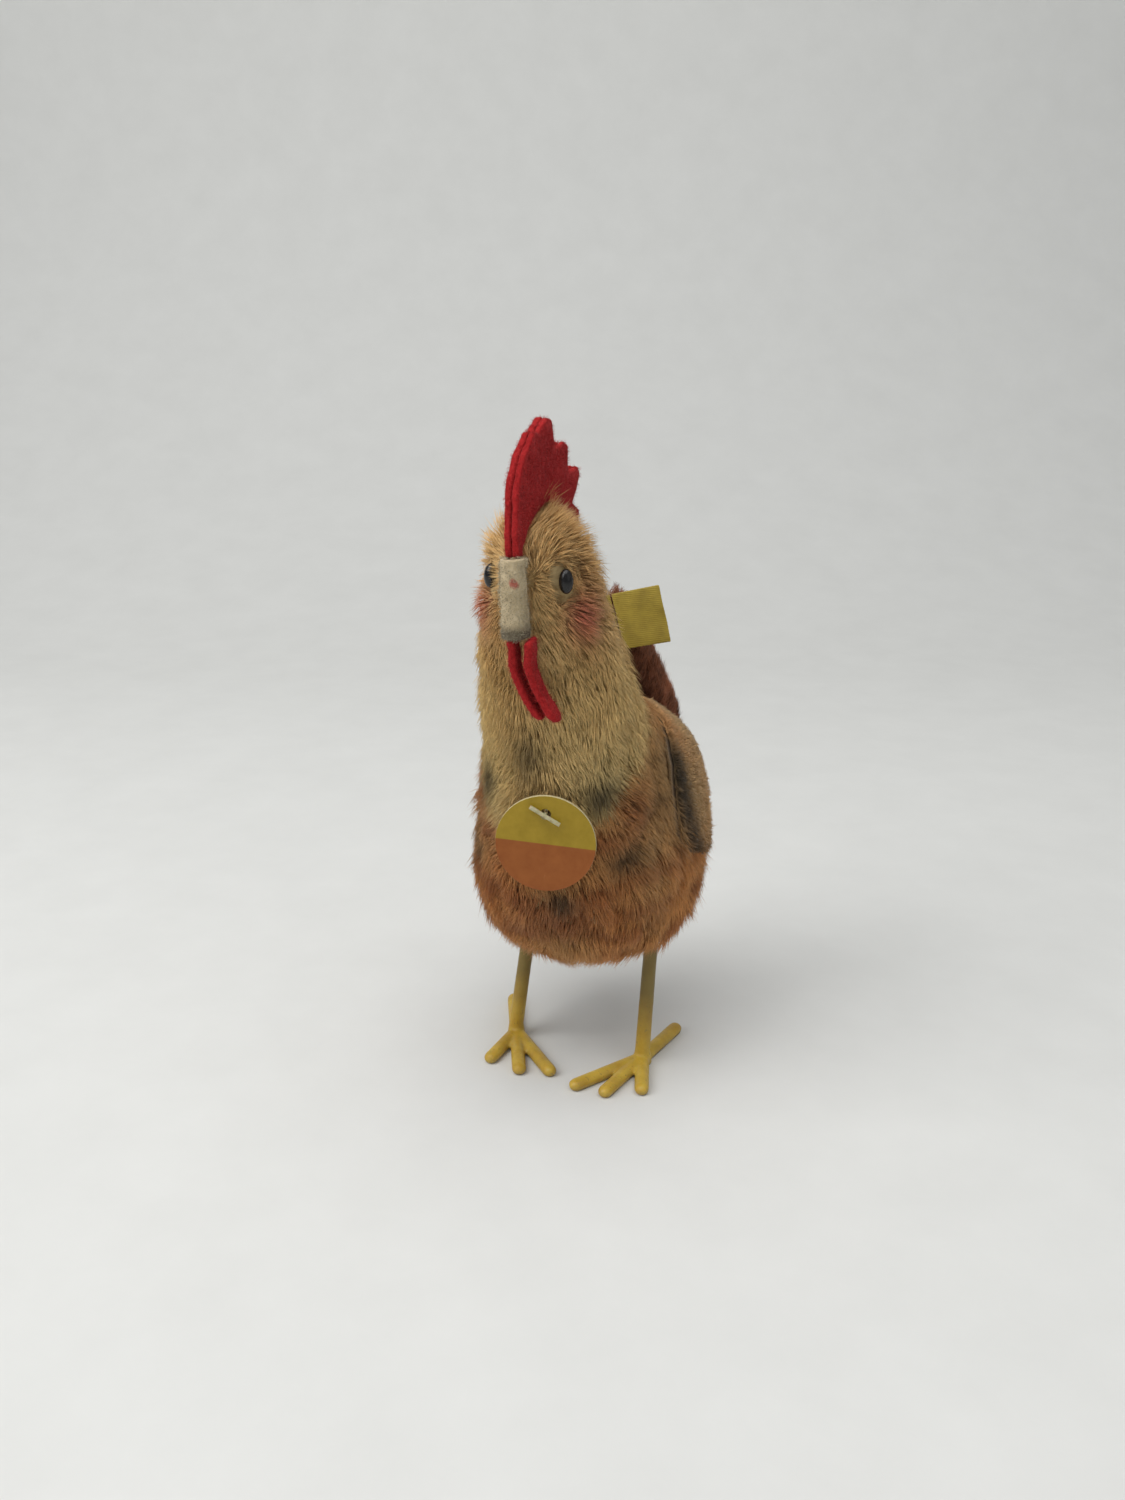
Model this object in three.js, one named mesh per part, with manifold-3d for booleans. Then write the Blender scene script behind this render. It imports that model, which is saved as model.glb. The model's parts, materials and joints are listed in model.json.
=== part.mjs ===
// A small standing plush hen: mohair plush panels over firm stuffing, a felt comb, beak and wattles,
// and two yellow moulded legs on bendable wire. Millimetres, +Z up, the hen faces -Y, its left is +X.
// The origin is on the ground in the middle of the hen's footprint box.
import * as THREE from 'three';
import { mergeVertices } from 'three/addons/utils/BufferGeometryUtils.js';
import Module from 'manifold-3d';

const wasm = await Module();
wasm.setup();

// ---- driving dimensions ----
const BODY_LENGTH = 71; // chest to rump
const BODY_WIDTH = 49.5; // across the flanks, wings left out
const GROUND_CLEARANCE = 25.8; // floor to the lowest point of the belly
const BODY_HEIGHT = 52.2; // belly to the middle of the back
const CROWN_HEIGHT = 129; // floor to the top of the head
const HEAD_WIDTH = 24;
const HEAD_REACH = 38.8; // the face ahead of the hips' middle
const NAPE_REACH = 21.8; // the back of the head ahead of the hips' middle
const CHEST_REACH = 33.8; // the chest ahead of the hips' middle
const COMB_RISE = 15.5; // comb above the crown
const TAIL_RISE = 27; // tail tip above the back
const TAIL_REACH = 9; // tail behind the rump
const TAIL_WIDTH = 18;

const PLUSH = 2.4; // pile and backing together
const TAIL_PLUSH = 2;
const LINING = 0.4;
const GAP = 0.3; // between pieces that touch
const SEAM = 0.3; // between two panels that are sewn together
const FELT = 1.25;

const WING_LENGTH = 46;
const WING_DEPTH = 35;
const WING_TILT = 16; // degrees, the wing's tail end hangs lower
const WING_PLUSH = 1.2;
const WING_SINK = 1.1; // the wing presses the body's pile this far down
const WING_ROOM = 0.9; // pressed down round the wing too, so that it can lift

const EYE_DIAMETER = 4.7; // up and down
const EYE_WIDTH_SHARE = 0.6; // the eye is an upright oval
const EYE_BULGE = 1.3;
const EYE_SINK = 0.6; // the pile stands this far above the middle of the eye
const EYE_SHANK = 0.9; // diameter
const EYE_SHANK_LENGTH = 5;

const BEAK_HEIGHT = 14.6;
const BEAK_WIDTH = 4.6;
const BEAK_REACH = 3.4; // ahead of the face

const WATTLE_LENGTH = 17;
const WATTLE_DEPTH = 3.6;
const WATTLE_SPACING = 3.6;
const WATTLE_SWAY = 15.5; // degrees, both hang towards the hen's left

const LEG_DIAMETER = 3.3;
const LEG_SPACING = 30; // between the hips
const INNER_TOE_LENGTH = 20.5;
const MIDDLE_TOE_LENGTH = 18;
const OUTER_TOE_LENGTH = 14.4;
const BACK_TOE_LENGTH = 17.3;
const TOE_WIDTH = 3.3;
const TOE_THICKNESS = 2.4;
const WIRE_DIAMETER = 1.1;
const HIP_SWING = 25; // degrees of room in the belly for the leg to swing

const TAG_DIAMETER = 20;
const TAG_THICKNESS = 0.8;
const TAG_HOLE = 2.2; // diameter
const TAG_HOLE_INSET = 3.8; // rim of the card to the middle of the hole
const TAG_SIDE = 3.6; // the card hangs this far to the hen's left
const TAG_YAW = 15; // degrees, the card faces the same way as the chest behind it
const TAG_HANG = 70; // height of the hole above the floor
const FASTENER = 0.9; // diameter of the filament
const FASTENER_BAR = 7;

const LABEL_WIDTH = 12.5;
const LABEL_LENGTH = 11.4;
const LABEL_TAB = 3.8; // the clamped end
const LABEL_THICKNESS = 0.5;
const LABEL_TILT = 15; // degrees
const RIVET_HEAD = 3.6;
const RIVET_SHANK = 1.5;

// ---- materials ----
const material = (color, roughness, metalness = 0) =>
  new THREE.MeshStandardMaterial({ color, roughness, metalness });
const creamPlush = () => material(0xc8a872, 0.95);
const orangePlush = () => material(0xb98a63, 0.95);
const brownPlush = () => material(0x5b3427, 0.95);
const woodWool = () => material(0xb89b6a, 1);
const redFelt = () => material(0xb3202c, 0.9);
const creamFelt = () => material(0xc9bfa4, 0.9);
const yellowVinyl = () => material(0xc9ae3c, 0.55);
const blackEye = () => material(0x15171b, 0.2);
const steel = () => material(0x8d9196, 0.4, 0.9);
const printedCard = () => material(0xcfbf3f, 0.6);
const wovenRibbon = () => material(0xc9b22f, 0.8);
const whiteNylon = () => material(0xe6e3da, 0.5);

// ---- solids ----
const group = new THREE.Group();

function addPart(name, shape, look, parent = group) {
  const geometry = shape.getMesh ? fromSolid(shape) : shape;
  const mesh = new THREE.Mesh(geometry, look);
  mesh.name = name;
  parent.add(mesh);
  return mesh;
}

function toSolid(geometry) {
  const bare = geometry.clone();
  bare.deleteAttribute('normal');
  bare.deleteAttribute('uv');
  const merged = mergeVertices(bare, 1e-4);
  return new wasm.Manifold(new wasm.Mesh({
    numProp: 3,
    vertProperties: new Float32Array(merged.attributes.position.array),
    triVerts: new Uint32Array(merged.index.array),
  }));
}

function fromSolid(solid) {
  const mesh = solid.getMesh();
  const geometry = new THREE.BufferGeometry();
  geometry.setAttribute('position', new THREE.BufferAttribute(mesh.vertProperties, 3));
  geometry.setIndex(new THREE.BufferAttribute(mesh.triVerts, 1));
  geometry.computeVertexNormals();
  return geometry;
}

const boxSolid = (low, high) => {
  const box = new THREE.BoxGeometry(high[0] - low[0], high[1] - low[1], high[2] - low[2]);
  box.translate((low[0] + high[0]) / 2, (low[1] + high[1]) / 2, (low[2] + high[2]) / 2);
  return toSolid(box);
};

// A round bar or cone from one point to another.
function rodGeometry(from, to, startRadius, endRadius = startRadius, sides = 16) {
  const length = from.distanceTo(to);
  const rod = new THREE.CylinderGeometry(endRadius, startRadius, length, sides);
  const turn = new THREE.Quaternion().setFromUnitVectors(
    new THREE.Vector3(0, 1, 0), to.clone().sub(from).normalize());
  rod.applyQuaternion(turn);
  const middle = from.clone().add(to).multiplyScalar(0.5);
  rod.translate(middle.x, middle.y, middle.z);
  return rod;
}
const rodSolid = (...given) => toSolid(rodGeometry(...given));

const ballSolid = (centre, radius) => {
  const ball = new THREE.SphereGeometry(radius, 14, 8);
  ball.translate(centre.x, centre.y, centre.z);
  return toSolid(ball);
};

const vector = (x, y, z) => new THREE.Vector3(x, y, z);
const inSagittalPlane = (y, z) => vector(0, y, z);

// ---- lofted forms ----
// A form is a stack of oval rings. Each station gives the ring's front and back points in the middle
// plane, as [y, z], and its half width. The first and last stations close the form at a point.
function makeForm(stations) {
  return {
    front: new THREE.CatmullRomCurve3(stations.map((s) => inSagittalPlane(...s.front))),
    back: new THREE.CatmullRomCurve3(stations.map((s) => inSagittalPlane(...s.back))),
    width: new THREE.CatmullRomCurve3(stations.map((s, i) => vector(s.half, i, 0))),
  };
}

// A point of the form: t runs from its bottom to its top, angle from 0 at the front to the hen's left.
function formPoint(form, t, angle) {
  const front = form.front.getPoint(t);
  const back = form.back.getPoint(t);
  const half = Math.max(form.width.getPoint(t).x, 0);
  const centre = front.clone().add(back).multiplyScalar(0.5);
  const reach = front.clone().sub(centre);
  return centre.add(reach.multiplyScalar(Math.cos(angle))).add(vector(half * Math.sin(angle), 0, 0));
}

function formNormal(form, t, angle) {
  const step = 0.004;
  const along = formPoint(form, t + step, angle).sub(formPoint(form, t - step, angle));
  const around = formPoint(form, t, angle + step).sub(formPoint(form, t, angle - step));
  return around.cross(along).normalize();
}

// The closed skin of a form, moved outwards by an offset, or inwards if that is negative.
function formGeometry(form, rings, sides, offset = 0) {
  const positions = [];
  const index = [];
  const first = formPoint(form, 0, 0);
  const last = formPoint(form, 1, 0);
  const axis = last.clone().sub(first).normalize();
  positions.push(...first.addScaledVector(axis, -offset).toArray());
  for (let ring = 1; ring < rings; ring += 1) {
    for (let side = 0; side < sides; side += 1) {
      const t = ring / rings;
      const angle = (side / sides) * 2 * Math.PI;
      const point = formPoint(form, t, angle).addScaledVector(formNormal(form, t, angle), offset);
      positions.push(...point.toArray());
    }
  }
  positions.push(...last.addScaledVector(axis, offset).toArray());
  const at = (ring, side) => 1 + (ring - 1) * sides + (side % sides);
  const top = 1 + (rings - 1) * sides;
  for (let side = 0; side < sides; side += 1) {
    index.push(0, at(1, side + 1), at(1, side));
    for (let ring = 1; ring < rings - 1; ring += 1) {
      index.push(at(ring, side), at(ring, side + 1), at(ring + 1, side + 1));
      index.push(at(ring, side), at(ring + 1, side + 1), at(ring + 1, side));
    }
    index.push(top, at(rings - 1, side), at(rings - 1, side + 1));
  }
  const geometry = new THREE.BufferGeometry();
  geometry.setAttribute('position', new THREE.Float32BufferAttribute(positions, 3));
  geometry.setIndex(index);
  return geometry;
}

// ---- the hen's form ----
const RUMP = BODY_LENGTH - CHEST_REACH; // rump behind the hips' middle
const flank = BODY_WIDTH / 2;
const belly = (share) => GROUND_CLEARANCE + share * BODY_HEIGHT;
const backTop = belly(1);
const neck = (share) => backTop + share * (CROWN_HEIGHT - backTop);
const headHalf = HEAD_WIDTH / 2;

const henStations = [
  { front: [2, belly(0)], back: [2, belly(0)], half: 0 },
  { front: [-CHEST_REACH * 0.3, belly(0.02)], back: [RUMP * 0.36, belly(0.02)], half: flank * 0.48 },
  { front: [-CHEST_REACH * 0.6, belly(0.09)], back: [RUMP * 0.66, belly(0.1)], half: flank * 0.79 },
  { front: [-CHEST_REACH * 0.82, belly(0.215)], back: [RUMP * 0.87, belly(0.25)], half: flank * 0.95 },
  { front: [-CHEST_REACH * 0.95, belly(0.39)], back: [RUMP * 0.985, belly(0.46)], half: flank },
  { front: [-CHEST_REACH * 0.99, belly(0.57)], back: [RUMP, belly(0.67)], half: flank * 0.955 },
  { front: [-CHEST_REACH, belly(0.71)], back: [RUMP * 0.88, belly(0.86)], half: flank * 0.9 },
  { front: [-CHEST_REACH * 0.99, belly(0.84)], back: [RUMP * 0.62, belly(0.985)], half: flank * 0.825 },
  { front: [-CHEST_REACH * 0.975, belly(0.96)], back: [RUMP * 0.3, neck(0.085)], half: flank * 0.735 },
  { front: [-CHEST_REACH * 0.965, neck(0.11)], back: [NAPE_REACH * 0.1, neck(0.2)], half: headHalf * 1.5 },
  { front: [-HEAD_REACH * 0.85, neck(0.24)], back: [-NAPE_REACH * 0.31, neck(0.34)], half: headHalf * 1.38 },
  { front: [-HEAD_REACH * 0.89, neck(0.4)], back: [-NAPE_REACH * 0.51, neck(0.495)], half: headHalf * 1.27 },
  { front: [-HEAD_REACH * 0.95, neck(0.555)], back: [-NAPE_REACH * 0.68, neck(0.65)], half: headHalf * 1.14 },
  { front: [-HEAD_REACH, neck(0.71)], back: [-NAPE_REACH * 0.82, neck(0.785)], half: headHalf },
  { front: [-HEAD_REACH * 0.99, neck(0.845)], back: [-NAPE_REACH * 0.94, neck(0.905)], half: headHalf * 0.84 },
  { front: [-HEAD_REACH * 0.88, neck(0.95)], back: [-NAPE_REACH, neck(0.97)], half: headHalf * 0.56 },
  { front: [-HEAD_REACH * 0.69, neck(1)], back: [-HEAD_REACH * 0.69, neck(1)], half: 0 },
];
const hen = makeForm(henStations);
const HEN_RINGS = 26;
const HEN_SIDES = 24;
const henSolid = (offset) => toSolid(formGeometry(hen, HEN_RINGS, HEN_SIDES, offset));

const henOuter = henSolid(0);
const henClear = henSolid(GAP); // what rests on the hen stays outside this
const henInner = henSolid(-PLUSH);
const henStuffing = henSolid(-PLUSH - GAP);

// The fraction t at which the front line of the form reaches a height.
function frontFractionAt(height) {
  let low = 0.05;
  let high = 0.95;
  while (high - low > 1e-5) {
    const t = (low + high) / 2;
    if (hen.front.getPoint(t).z < height) low = t;
    else high = t;
  }
  return low;
}

// ---- sewing lines ----
const FAR = 300;
const everywhere = boxSolid([-FAR, -FAR, -FAR], [FAR, FAR, FAR]);
const leftHalf = boxSolid([SEAM / 2, -FAR, -FAR], [FAR, FAR, FAR]);
const rightHalf = boxSolid([-FAR, -FAR, -FAR], [-SEAM / 2, FAR, FAR]);

// The cream neck cape ends on a slanting line, low on the chest and high on the back.
const CAPE_CHEST = belly(0.7);
const CAPE_BACK = neck(0.36);
const capeSlope = Math.atan2(CAPE_BACK - CAPE_CHEST, CHEST_REACH - RUMP * 0.1);
function aboveCape(lift) {
  const slab = new THREE.BoxGeometry(2 * FAR, 2 * FAR, FAR);
  slab.translate(0, 0, FAR / 2);
  slab.rotateX(capeSlope);
  slab.translate(0, -CHEST_REACH, CAPE_CHEST + lift);
  return toSolid(slab);
}
const capeSide = aboveCape(SEAM / 2 / Math.cos(capeSlope));
const bodySide = everywhere.subtract(aboveCape(-SEAM / 2 / Math.cos(capeSlope)));

// The belly panel closes the body below a level line.
const BELLY_SEAM = belly(0.22);
const aboveBelly = boxSolid([-FAR, -FAR, BELLY_SEAM + SEAM / 2], [FAR, FAR, FAR]);
const belowBelly = boxSolid([-FAR, -FAR, -FAR], [FAR, FAR, BELLY_SEAM - SEAM / 2]);

// ---- legs ----
const legRadius = LEG_DIAMETER / 2;
const wireRadius = WIRE_DIAMETER / 2;
const HIP_SINK = 1.3; // the leg bends this far inside the plush
const LEG_STANCE = [
  { side: 'left', outward: 1, hipX: LEG_SPACING / 2 + 0.6, footX: LEG_SPACING / 2 - 0.4, turn: -11 },
  { side: 'right', outward: -1, hipX: -LEG_SPACING / 2 + 1.2, footX: -LEG_SPACING / 2 - 1.9, turn: 26 },
];
const HIP_Y = -2;
const FOOT_Y = -3.5;
const ANKLE_HEIGHT = 3.4;
const INNER_SPREAD = 21; // degrees from the middle toe
const OUTER_SPREAD = 29;

// Where the belly's outside lies under a point.
function bellyHeightAt(x, y) {
  const column = boxSolid([x - 0.2, y - 0.2, 0], [x + 0.2, y + 0.2, backTop]);
  return henOuter.intersect(column).boundingBox().min[2];
}

function toeGeometry(length, heading) {
  const toe = new THREE.CapsuleGeometry(TOE_WIDTH / 2, length - TOE_WIDTH / 2, 4, 12);
  toe.translate(0, (length - TOE_WIDTH / 2) / 2, 0);
  toe.scale(1, 1, (TOE_THICKNESS / TOE_WIDTH) * 1.15);
  toe.rotateZ(THREE.MathUtils.degToRad(heading));
  return toe;
}

const legHollow = []; // what each leg takes out of the belly and the stuffing
const hips = [];

for (const stance of LEG_STANCE) {
  const hip = vector(stance.hipX, HIP_Y, bellyHeightAt(stance.hipX, HIP_Y) + HIP_SINK);
  const ankle = vector(stance.footX, FOOT_Y, ANKLE_HEIGHT);
  const toeLevel = TOE_THICKNESS * 0.46;
  let leg = rodSolid(hip, ankle, legRadius * 0.95, legRadius * 1.05, 14).add(ballSolid(hip, legRadius));
  leg = leg.add(rodSolid(ankle, vector(ankle.x, ankle.y, 0), legRadius * 1.05, legRadius * 1.35, 14));
  leg = leg.add(ballSolid(ankle, legRadius * 1.05));
  const toes = [
    [INNER_TOE_LENGTH, 180 + stance.turn - stance.outward * INNER_SPREAD],
    [MIDDLE_TOE_LENGTH, 180 + stance.turn],
    [OUTER_TOE_LENGTH, 180 + stance.turn + stance.outward * OUTER_SPREAD],
    [BACK_TOE_LENGTH, stance.turn],
  ];
  for (const [length, heading] of toes) {
    leg = leg.add(toSolid(toeGeometry(length, heading).translate(ankle.x, ankle.y, toeLevel)));
  }
  leg = leg.intersect(boxSolid([-FAR, -FAR, 0], [FAR, FAR, FAR]));

  // The wire runs down the middle of the leg and ends inside the foot.
  const shin = hip.clone().sub(ankle).normalize();
  const wireEnd = ankle.clone().addScaledVector(shin, -1.2);
  const wireTop = hip.clone().addScaledVector(shin, 1);
  const bore = rodSolid(wireEnd.clone().addScaledVector(shin, -GAP),
    hip.clone().addScaledVector(shin, 4), wireRadius + GAP, wireRadius + GAP, 10);
  leg = leg.subtract(bore);
  addPart(`leg_${stance.side}`, leg, yellowVinyl());
  addPart(`leg_wire_${stance.side}`, rodGeometry(wireEnd, wireTop, wireRadius, wireRadius, 8), steel());

  const flare = Math.tan(THREE.MathUtils.degToRad(HIP_SWING)) * 8;
  const room = rodSolid(hip, hip.clone().add(vector(0, 0, -8)), legRadius + GAP,
    legRadius + GAP + flare, 16);
  legHollow.push(room.add(ballSolid(hip, legRadius + 2 * GAP)));
  hips.push(hip);
}

// One bent wire inside the body joins both hips.
const [leftHip, rightHip] = hips;
const WIRE_ARCH = 20;
const WIRE_STEPS = 18;
const anchorRise = legRadius + 2 * GAP;
const anchorPath = new THREE.CatmullRomCurve3([
  leftHip.clone().add(vector(0, 0, anchorRise)),
  leftHip.clone().add(vector(0, 0, anchorRise + WIRE_ARCH * 0.35)),
  vector(leftHip.x * 0.7, HIP_Y, leftHip.z + WIRE_ARCH),
  vector(0, HIP_Y, leftHip.z + WIRE_ARCH * 1.15),
  vector(rightHip.x * 0.7, HIP_Y, rightHip.z + WIRE_ARCH),
  rightHip.clone().add(vector(0, 0, anchorRise + WIRE_ARCH * 0.35)),
  rightHip.clone().add(vector(0, 0, anchorRise)),
]);
function tubeAlong(path, radius, steps) {
  const round = new THREE.Shape().absarc(0, 0, radius, 0, 2 * Math.PI);
  return new THREE.ExtrudeGeometry(round, {
    extrudePath: path, steps, bevelEnabled: false, curveSegments: 4,
  });
}
addPart('hip_wire', tubeAlong(anchorPath, wireRadius, WIRE_STEPS), steel());
let wireChannel = toSolid(tubeAlong(anchorPath, wireRadius + GAP, WIRE_STEPS));
for (const hip of hips) {
  const foot = hip.clone().add(vector(0, 0, anchorRise));
  wireChannel = wireChannel.add(rodSolid(hip, foot.clone().add(vector(0, 0, 1)),
    wireRadius + GAP, wireRadius + GAP, 8));
}

// ---- eyes ----
const EYE_FRACTION = 0.823;
const EYE_ANGLE = THREE.MathUtils.degToRad(51);
const eyeRadius = EYE_DIAMETER / 2;
let eyeHollow = null;

function eyePlace(sideSign) {
  const angle = sideSign * EYE_ANGLE;
  const normal = formNormal(hen, EYE_FRACTION, angle);
  const level = vector(-normal.y, normal.x, 0).normalize();
  const turn = new THREE.Quaternion().setFromRotationMatrix(
    new THREE.Matrix4().makeBasis(level, normal.clone().cross(level), normal));
  return { at: formPoint(hen, EYE_FRACTION, angle), normal, turn };
}

for (const [side, sideSign] of [['left', 1], ['right', -1]]) {
  const { at, normal, turn } = eyePlace(sideSign);
  const bulge = new THREE.SphereGeometry(eyeRadius, 18, 10);
  bulge.scale(EYE_WIDTH_SHARE, 1, EYE_BULGE / eyeRadius);
  bulge.applyQuaternion(turn);
  const seat = at.clone().addScaledVector(normal, -EYE_SINK);
  bulge.translate(seat.x, seat.y, seat.z);
  addPart(`eye_${side}`, bulge, blackEye());
  const shankTop = seat.clone().addScaledVector(normal, -EYE_BULGE - GAP);
  const shankEnd = shankTop.clone().addScaledVector(normal, -EYE_SHANK_LENGTH);
  addPart(`eye_shank_${side}`,
    rodGeometry(shankEnd, shankTop, EYE_SHANK / 2, EYE_SHANK / 2, 8), steel());
  const socket = new THREE.SphereGeometry(eyeRadius + GAP, 14, 8);
  socket.scale((eyeRadius * EYE_WIDTH_SHARE + GAP) / (eyeRadius + GAP), 1,
    (EYE_BULGE + GAP) / (eyeRadius + GAP));
  socket.applyQuaternion(turn);
  socket.translate(seat.x, seat.y, seat.z);
  const shankRoom = rodSolid(shankEnd.clone().addScaledVector(normal, -GAP), seat,
    EYE_SHANK / 2 + GAP, EYE_SHANK / 2 + GAP, 10);
  const mouthReach = eyeRadius * EYE_WIDTH_SHARE;
  const mouth = rodSolid(seat, seat.clone().addScaledVector(normal, EYE_BULGE + EYE_SINK),
    mouthReach, mouthReach + EYE_SINK, 14);
  const room = toSolid(socket).add(shankRoom).add(mouth);
  eyeHollow = eyeHollow ? eyeHollow.add(room) : room;
}

// ---- comb ----
const beakTop = neck(0.835);
// The fin's outline in the middle plane, from the beak over the head, with pointed lobes.
const crownY = -HEAD_REACH * 0.66;
const faceFront = -HEAD_REACH;
const combHeight = (share) => CROWN_HEIGHT + share * COMB_RISE;
const combOutline = [
  [faceFront + 3, beakTop + GAP], [faceFront - 1.6, beakTop + GAP], [faceFront - 2.2, neck(0.92)],
  [faceFront - 1.4, combHeight(0.22)], [faceFront + 1.4, combHeight(0.62)],
  [faceFront + 5.2, combHeight(0.86)], [faceFront + 7.4, combHeight(0.84)],
  [faceFront + 11.4, combHeight(1)], [faceFront + 13.4, combHeight(0.97)],
  [faceFront + 15.6, combHeight(0.62)], [faceFront + 20, combHeight(0.68)],
  [faceFront + 22, combHeight(0.62)], [faceFront + 22.6, combHeight(0.28)],
  [faceFront + 28, combHeight(0.34)], [faceFront + 29, combHeight(0.24)],
  [faceFront + 25, combHeight(-0.1)], [faceFront + 28.8, combHeight(-0.22)],
  [faceFront + 27.8, combHeight(-0.42)], [faceFront + 24, combHeight(-0.56)], [crownY, neck(0.8)],
];

function sheetInMiddle(outline, thickness, x) {
  const shape = new THREE.Shape(outline.map(([y, z]) => new THREE.Vector2(y, z)));
  const sheet = new THREE.ExtrudeGeometry(shape, { depth: thickness, bevelEnabled: false });
  sheet.rotateX(Math.PI / 2);
  sheet.rotateZ(Math.PI / 2);
  sheet.translate(x, 0, 0);
  return sheet;
}
const combGap = 0.1; // the two layers are sewn face to face
addPart('comb_felt_left',
  toSolid(sheetInMiddle(combOutline, FELT, combGap / 2)).subtract(henClear), redFelt());
addPart('comb_felt_right',
  toSolid(sheetInMiddle(combOutline, FELT, -FELT - combGap / 2)).subtract(henClear), redFelt());

// ---- beak ----
const beakBottom = beakTop - BEAK_HEIGHT;
const beakFront = faceFront - BEAK_REACH;
const beakHalf = BEAK_WIDTH / 2;
const BEAK_TAIL = 8; // how far the strip's ends go back before the face hides them

// A strip of felt folded round a vertical line, its two ends going back to the face.
function foldedStrip(half, inner, front, back) {
  const bend = front + half;
  const shape = new THREE.Shape();
  shape.moveTo(-half, back);
  shape.lineTo(-half, bend);
  shape.absarc(0, bend, half, Math.PI, 2 * Math.PI, false);
  shape.lineTo(half, back);
  shape.lineTo(inner, back);
  shape.lineTo(inner, bend);
  shape.absarc(0, bend, inner, 2 * Math.PI, Math.PI, true);
  shape.lineTo(-inner, back);
  return shape;
}
const beakStrip = new THREE.ExtrudeGeometry(
  foldedStrip(beakHalf, beakHalf - FELT, beakFront, beakFront + BEAK_TAIL),
  { depth: BEAK_HEIGHT, bevelEnabled: false, curveSegments: 12 });
beakStrip.translate(0, 0, beakBottom);
// The two ends stay joined by the fold, so the strip is cut level with the face.
const beakRoom = boxSolid([-beakHalf, beakFront, beakBottom], [beakHalf, faceFront + 1.4, beakTop]);
addPart('beak', toSolid(beakStrip).intersect(beakRoom).subtract(henClear), creamFelt());

// ---- wattles ----
const throatLean = Math.atan2(HEAD_REACH * 0.95 - HEAD_REACH * 0.85, neck(0.555) - neck(0.24));
const wattleRoot = vector(0, -HEAD_REACH * 0.96 - GAP - WATTLE_DEPTH / 2, beakBottom - GAP);

function wattleGeometry() {
  const half = WATTLE_DEPTH / 2;
  const shape = new THREE.Shape();
  shape.moveTo(-half * 0.8, 0);
  shape.lineTo(-half, half - WATTLE_LENGTH);
  shape.absarc(0, half - WATTLE_LENGTH, half, Math.PI, 2 * Math.PI, false);
  shape.lineTo(half * 0.8, 0);
  const lappet = new THREE.ExtrudeGeometry(shape, {
    depth: FELT, bevelEnabled: false, curveSegments: 10,
  });
  lappet.translate(0, 0, -FELT / 2);
  lappet.rotateX(Math.PI / 2);
  lappet.rotateZ(Math.PI / 2);
  return lappet;
}
for (const [side, sideSign] of [['left', 1], ['right', -1]]) {
  const lappet = addPart(`wattle_${side}`, wattleGeometry(), redFelt());
  lappet.rotation.set(throatLean, -THREE.MathUtils.degToRad(WATTLE_SWAY), 0, 'YXZ');
  lappet.position.copy(wattleRoot).add(vector(sideSign * WATTLE_SPACING / 2 + FELT, 0, 0));
}

// ---- tail ----
const tailHalf = TAIL_WIDTH / 2;
const overBack = (share) => backTop + share * TAIL_RISE;
const behind = (share) => RUMP + share * TAIL_REACH;
const tailStations = [
  { front: [RUMP * 0.6, belly(0.66)], back: [RUMP * 0.6, belly(0.66)], half: 0 },
  { front: [RUMP * 0.42, belly(0.97)], back: [behind(0.55), belly(0.62)], half: tailHalf * 0.95 },
  { front: [RUMP * 0.35, overBack(0.22)], back: [behind(0.95), belly(0.77)], half: tailHalf },
  { front: [RUMP * 0.32, overBack(0.4)], back: [behind(0.55), belly(0.92)], half: tailHalf * 0.88 },
  { front: [RUMP * 0.31, overBack(0.57)], back: [RUMP * 0.93, overBack(0.15)], half: tailHalf * 0.72 },
  { front: [RUMP * 0.31, overBack(0.74)], back: [RUMP * 0.7, overBack(0.44)], half: tailHalf * 0.56 },
  { front: [RUMP * 0.32, overBack(0.9)], back: [RUMP * 0.55, overBack(0.74)], half: tailHalf * 0.42 },
  { front: [RUMP * 0.42, overBack(1)], back: [RUMP * 0.42, overBack(1)], half: 0 },
];

// The stations of the surface that lies an inset inside the tail's.
function insetStations(stations, inset) {
  const shrunk = stations.slice(1, -1).map(({ front, back, half }) => {
    const reach = Math.hypot(front[0] - back[0], front[1] - back[1]) / 2;
    const share = inset / reach / 2;
    const towards = (from, to) => from.map((value, i) => value + (to[i] - value) * share);
    return { front: towards(front, back), back: towards(back, front), half: half - inset };
  });
  const middle = ({ front, back }) => front.map((value, i) => (value + back[i]) / 2);
  const endPole = (pole, next) => {
    const away = middle(next).map((value, i) => value - pole.front[i]);
    const share = inset / Math.hypot(...away);
    const point = pole.front.map((value, i) => value + away[i] * share);
    return { front: point, back: point, half: 0 };
  };
  return [endPole(stations[0], shrunk[0]), ...shrunk, endPole(stations.at(-1), shrunk.at(-1))];
}
const tail = makeForm(tailStations);
const TAIL_RINGS = 14;
const TAIL_SIDES = 16;
const tailSolid = (inset) => toSolid(
  formGeometry(makeForm(insetStations(tailStations, inset)), TAIL_RINGS, TAIL_SIDES));
const tailShell = tailSolid(0).subtract(tailSolid(TAIL_PLUSH)).subtract(henClear);

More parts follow.
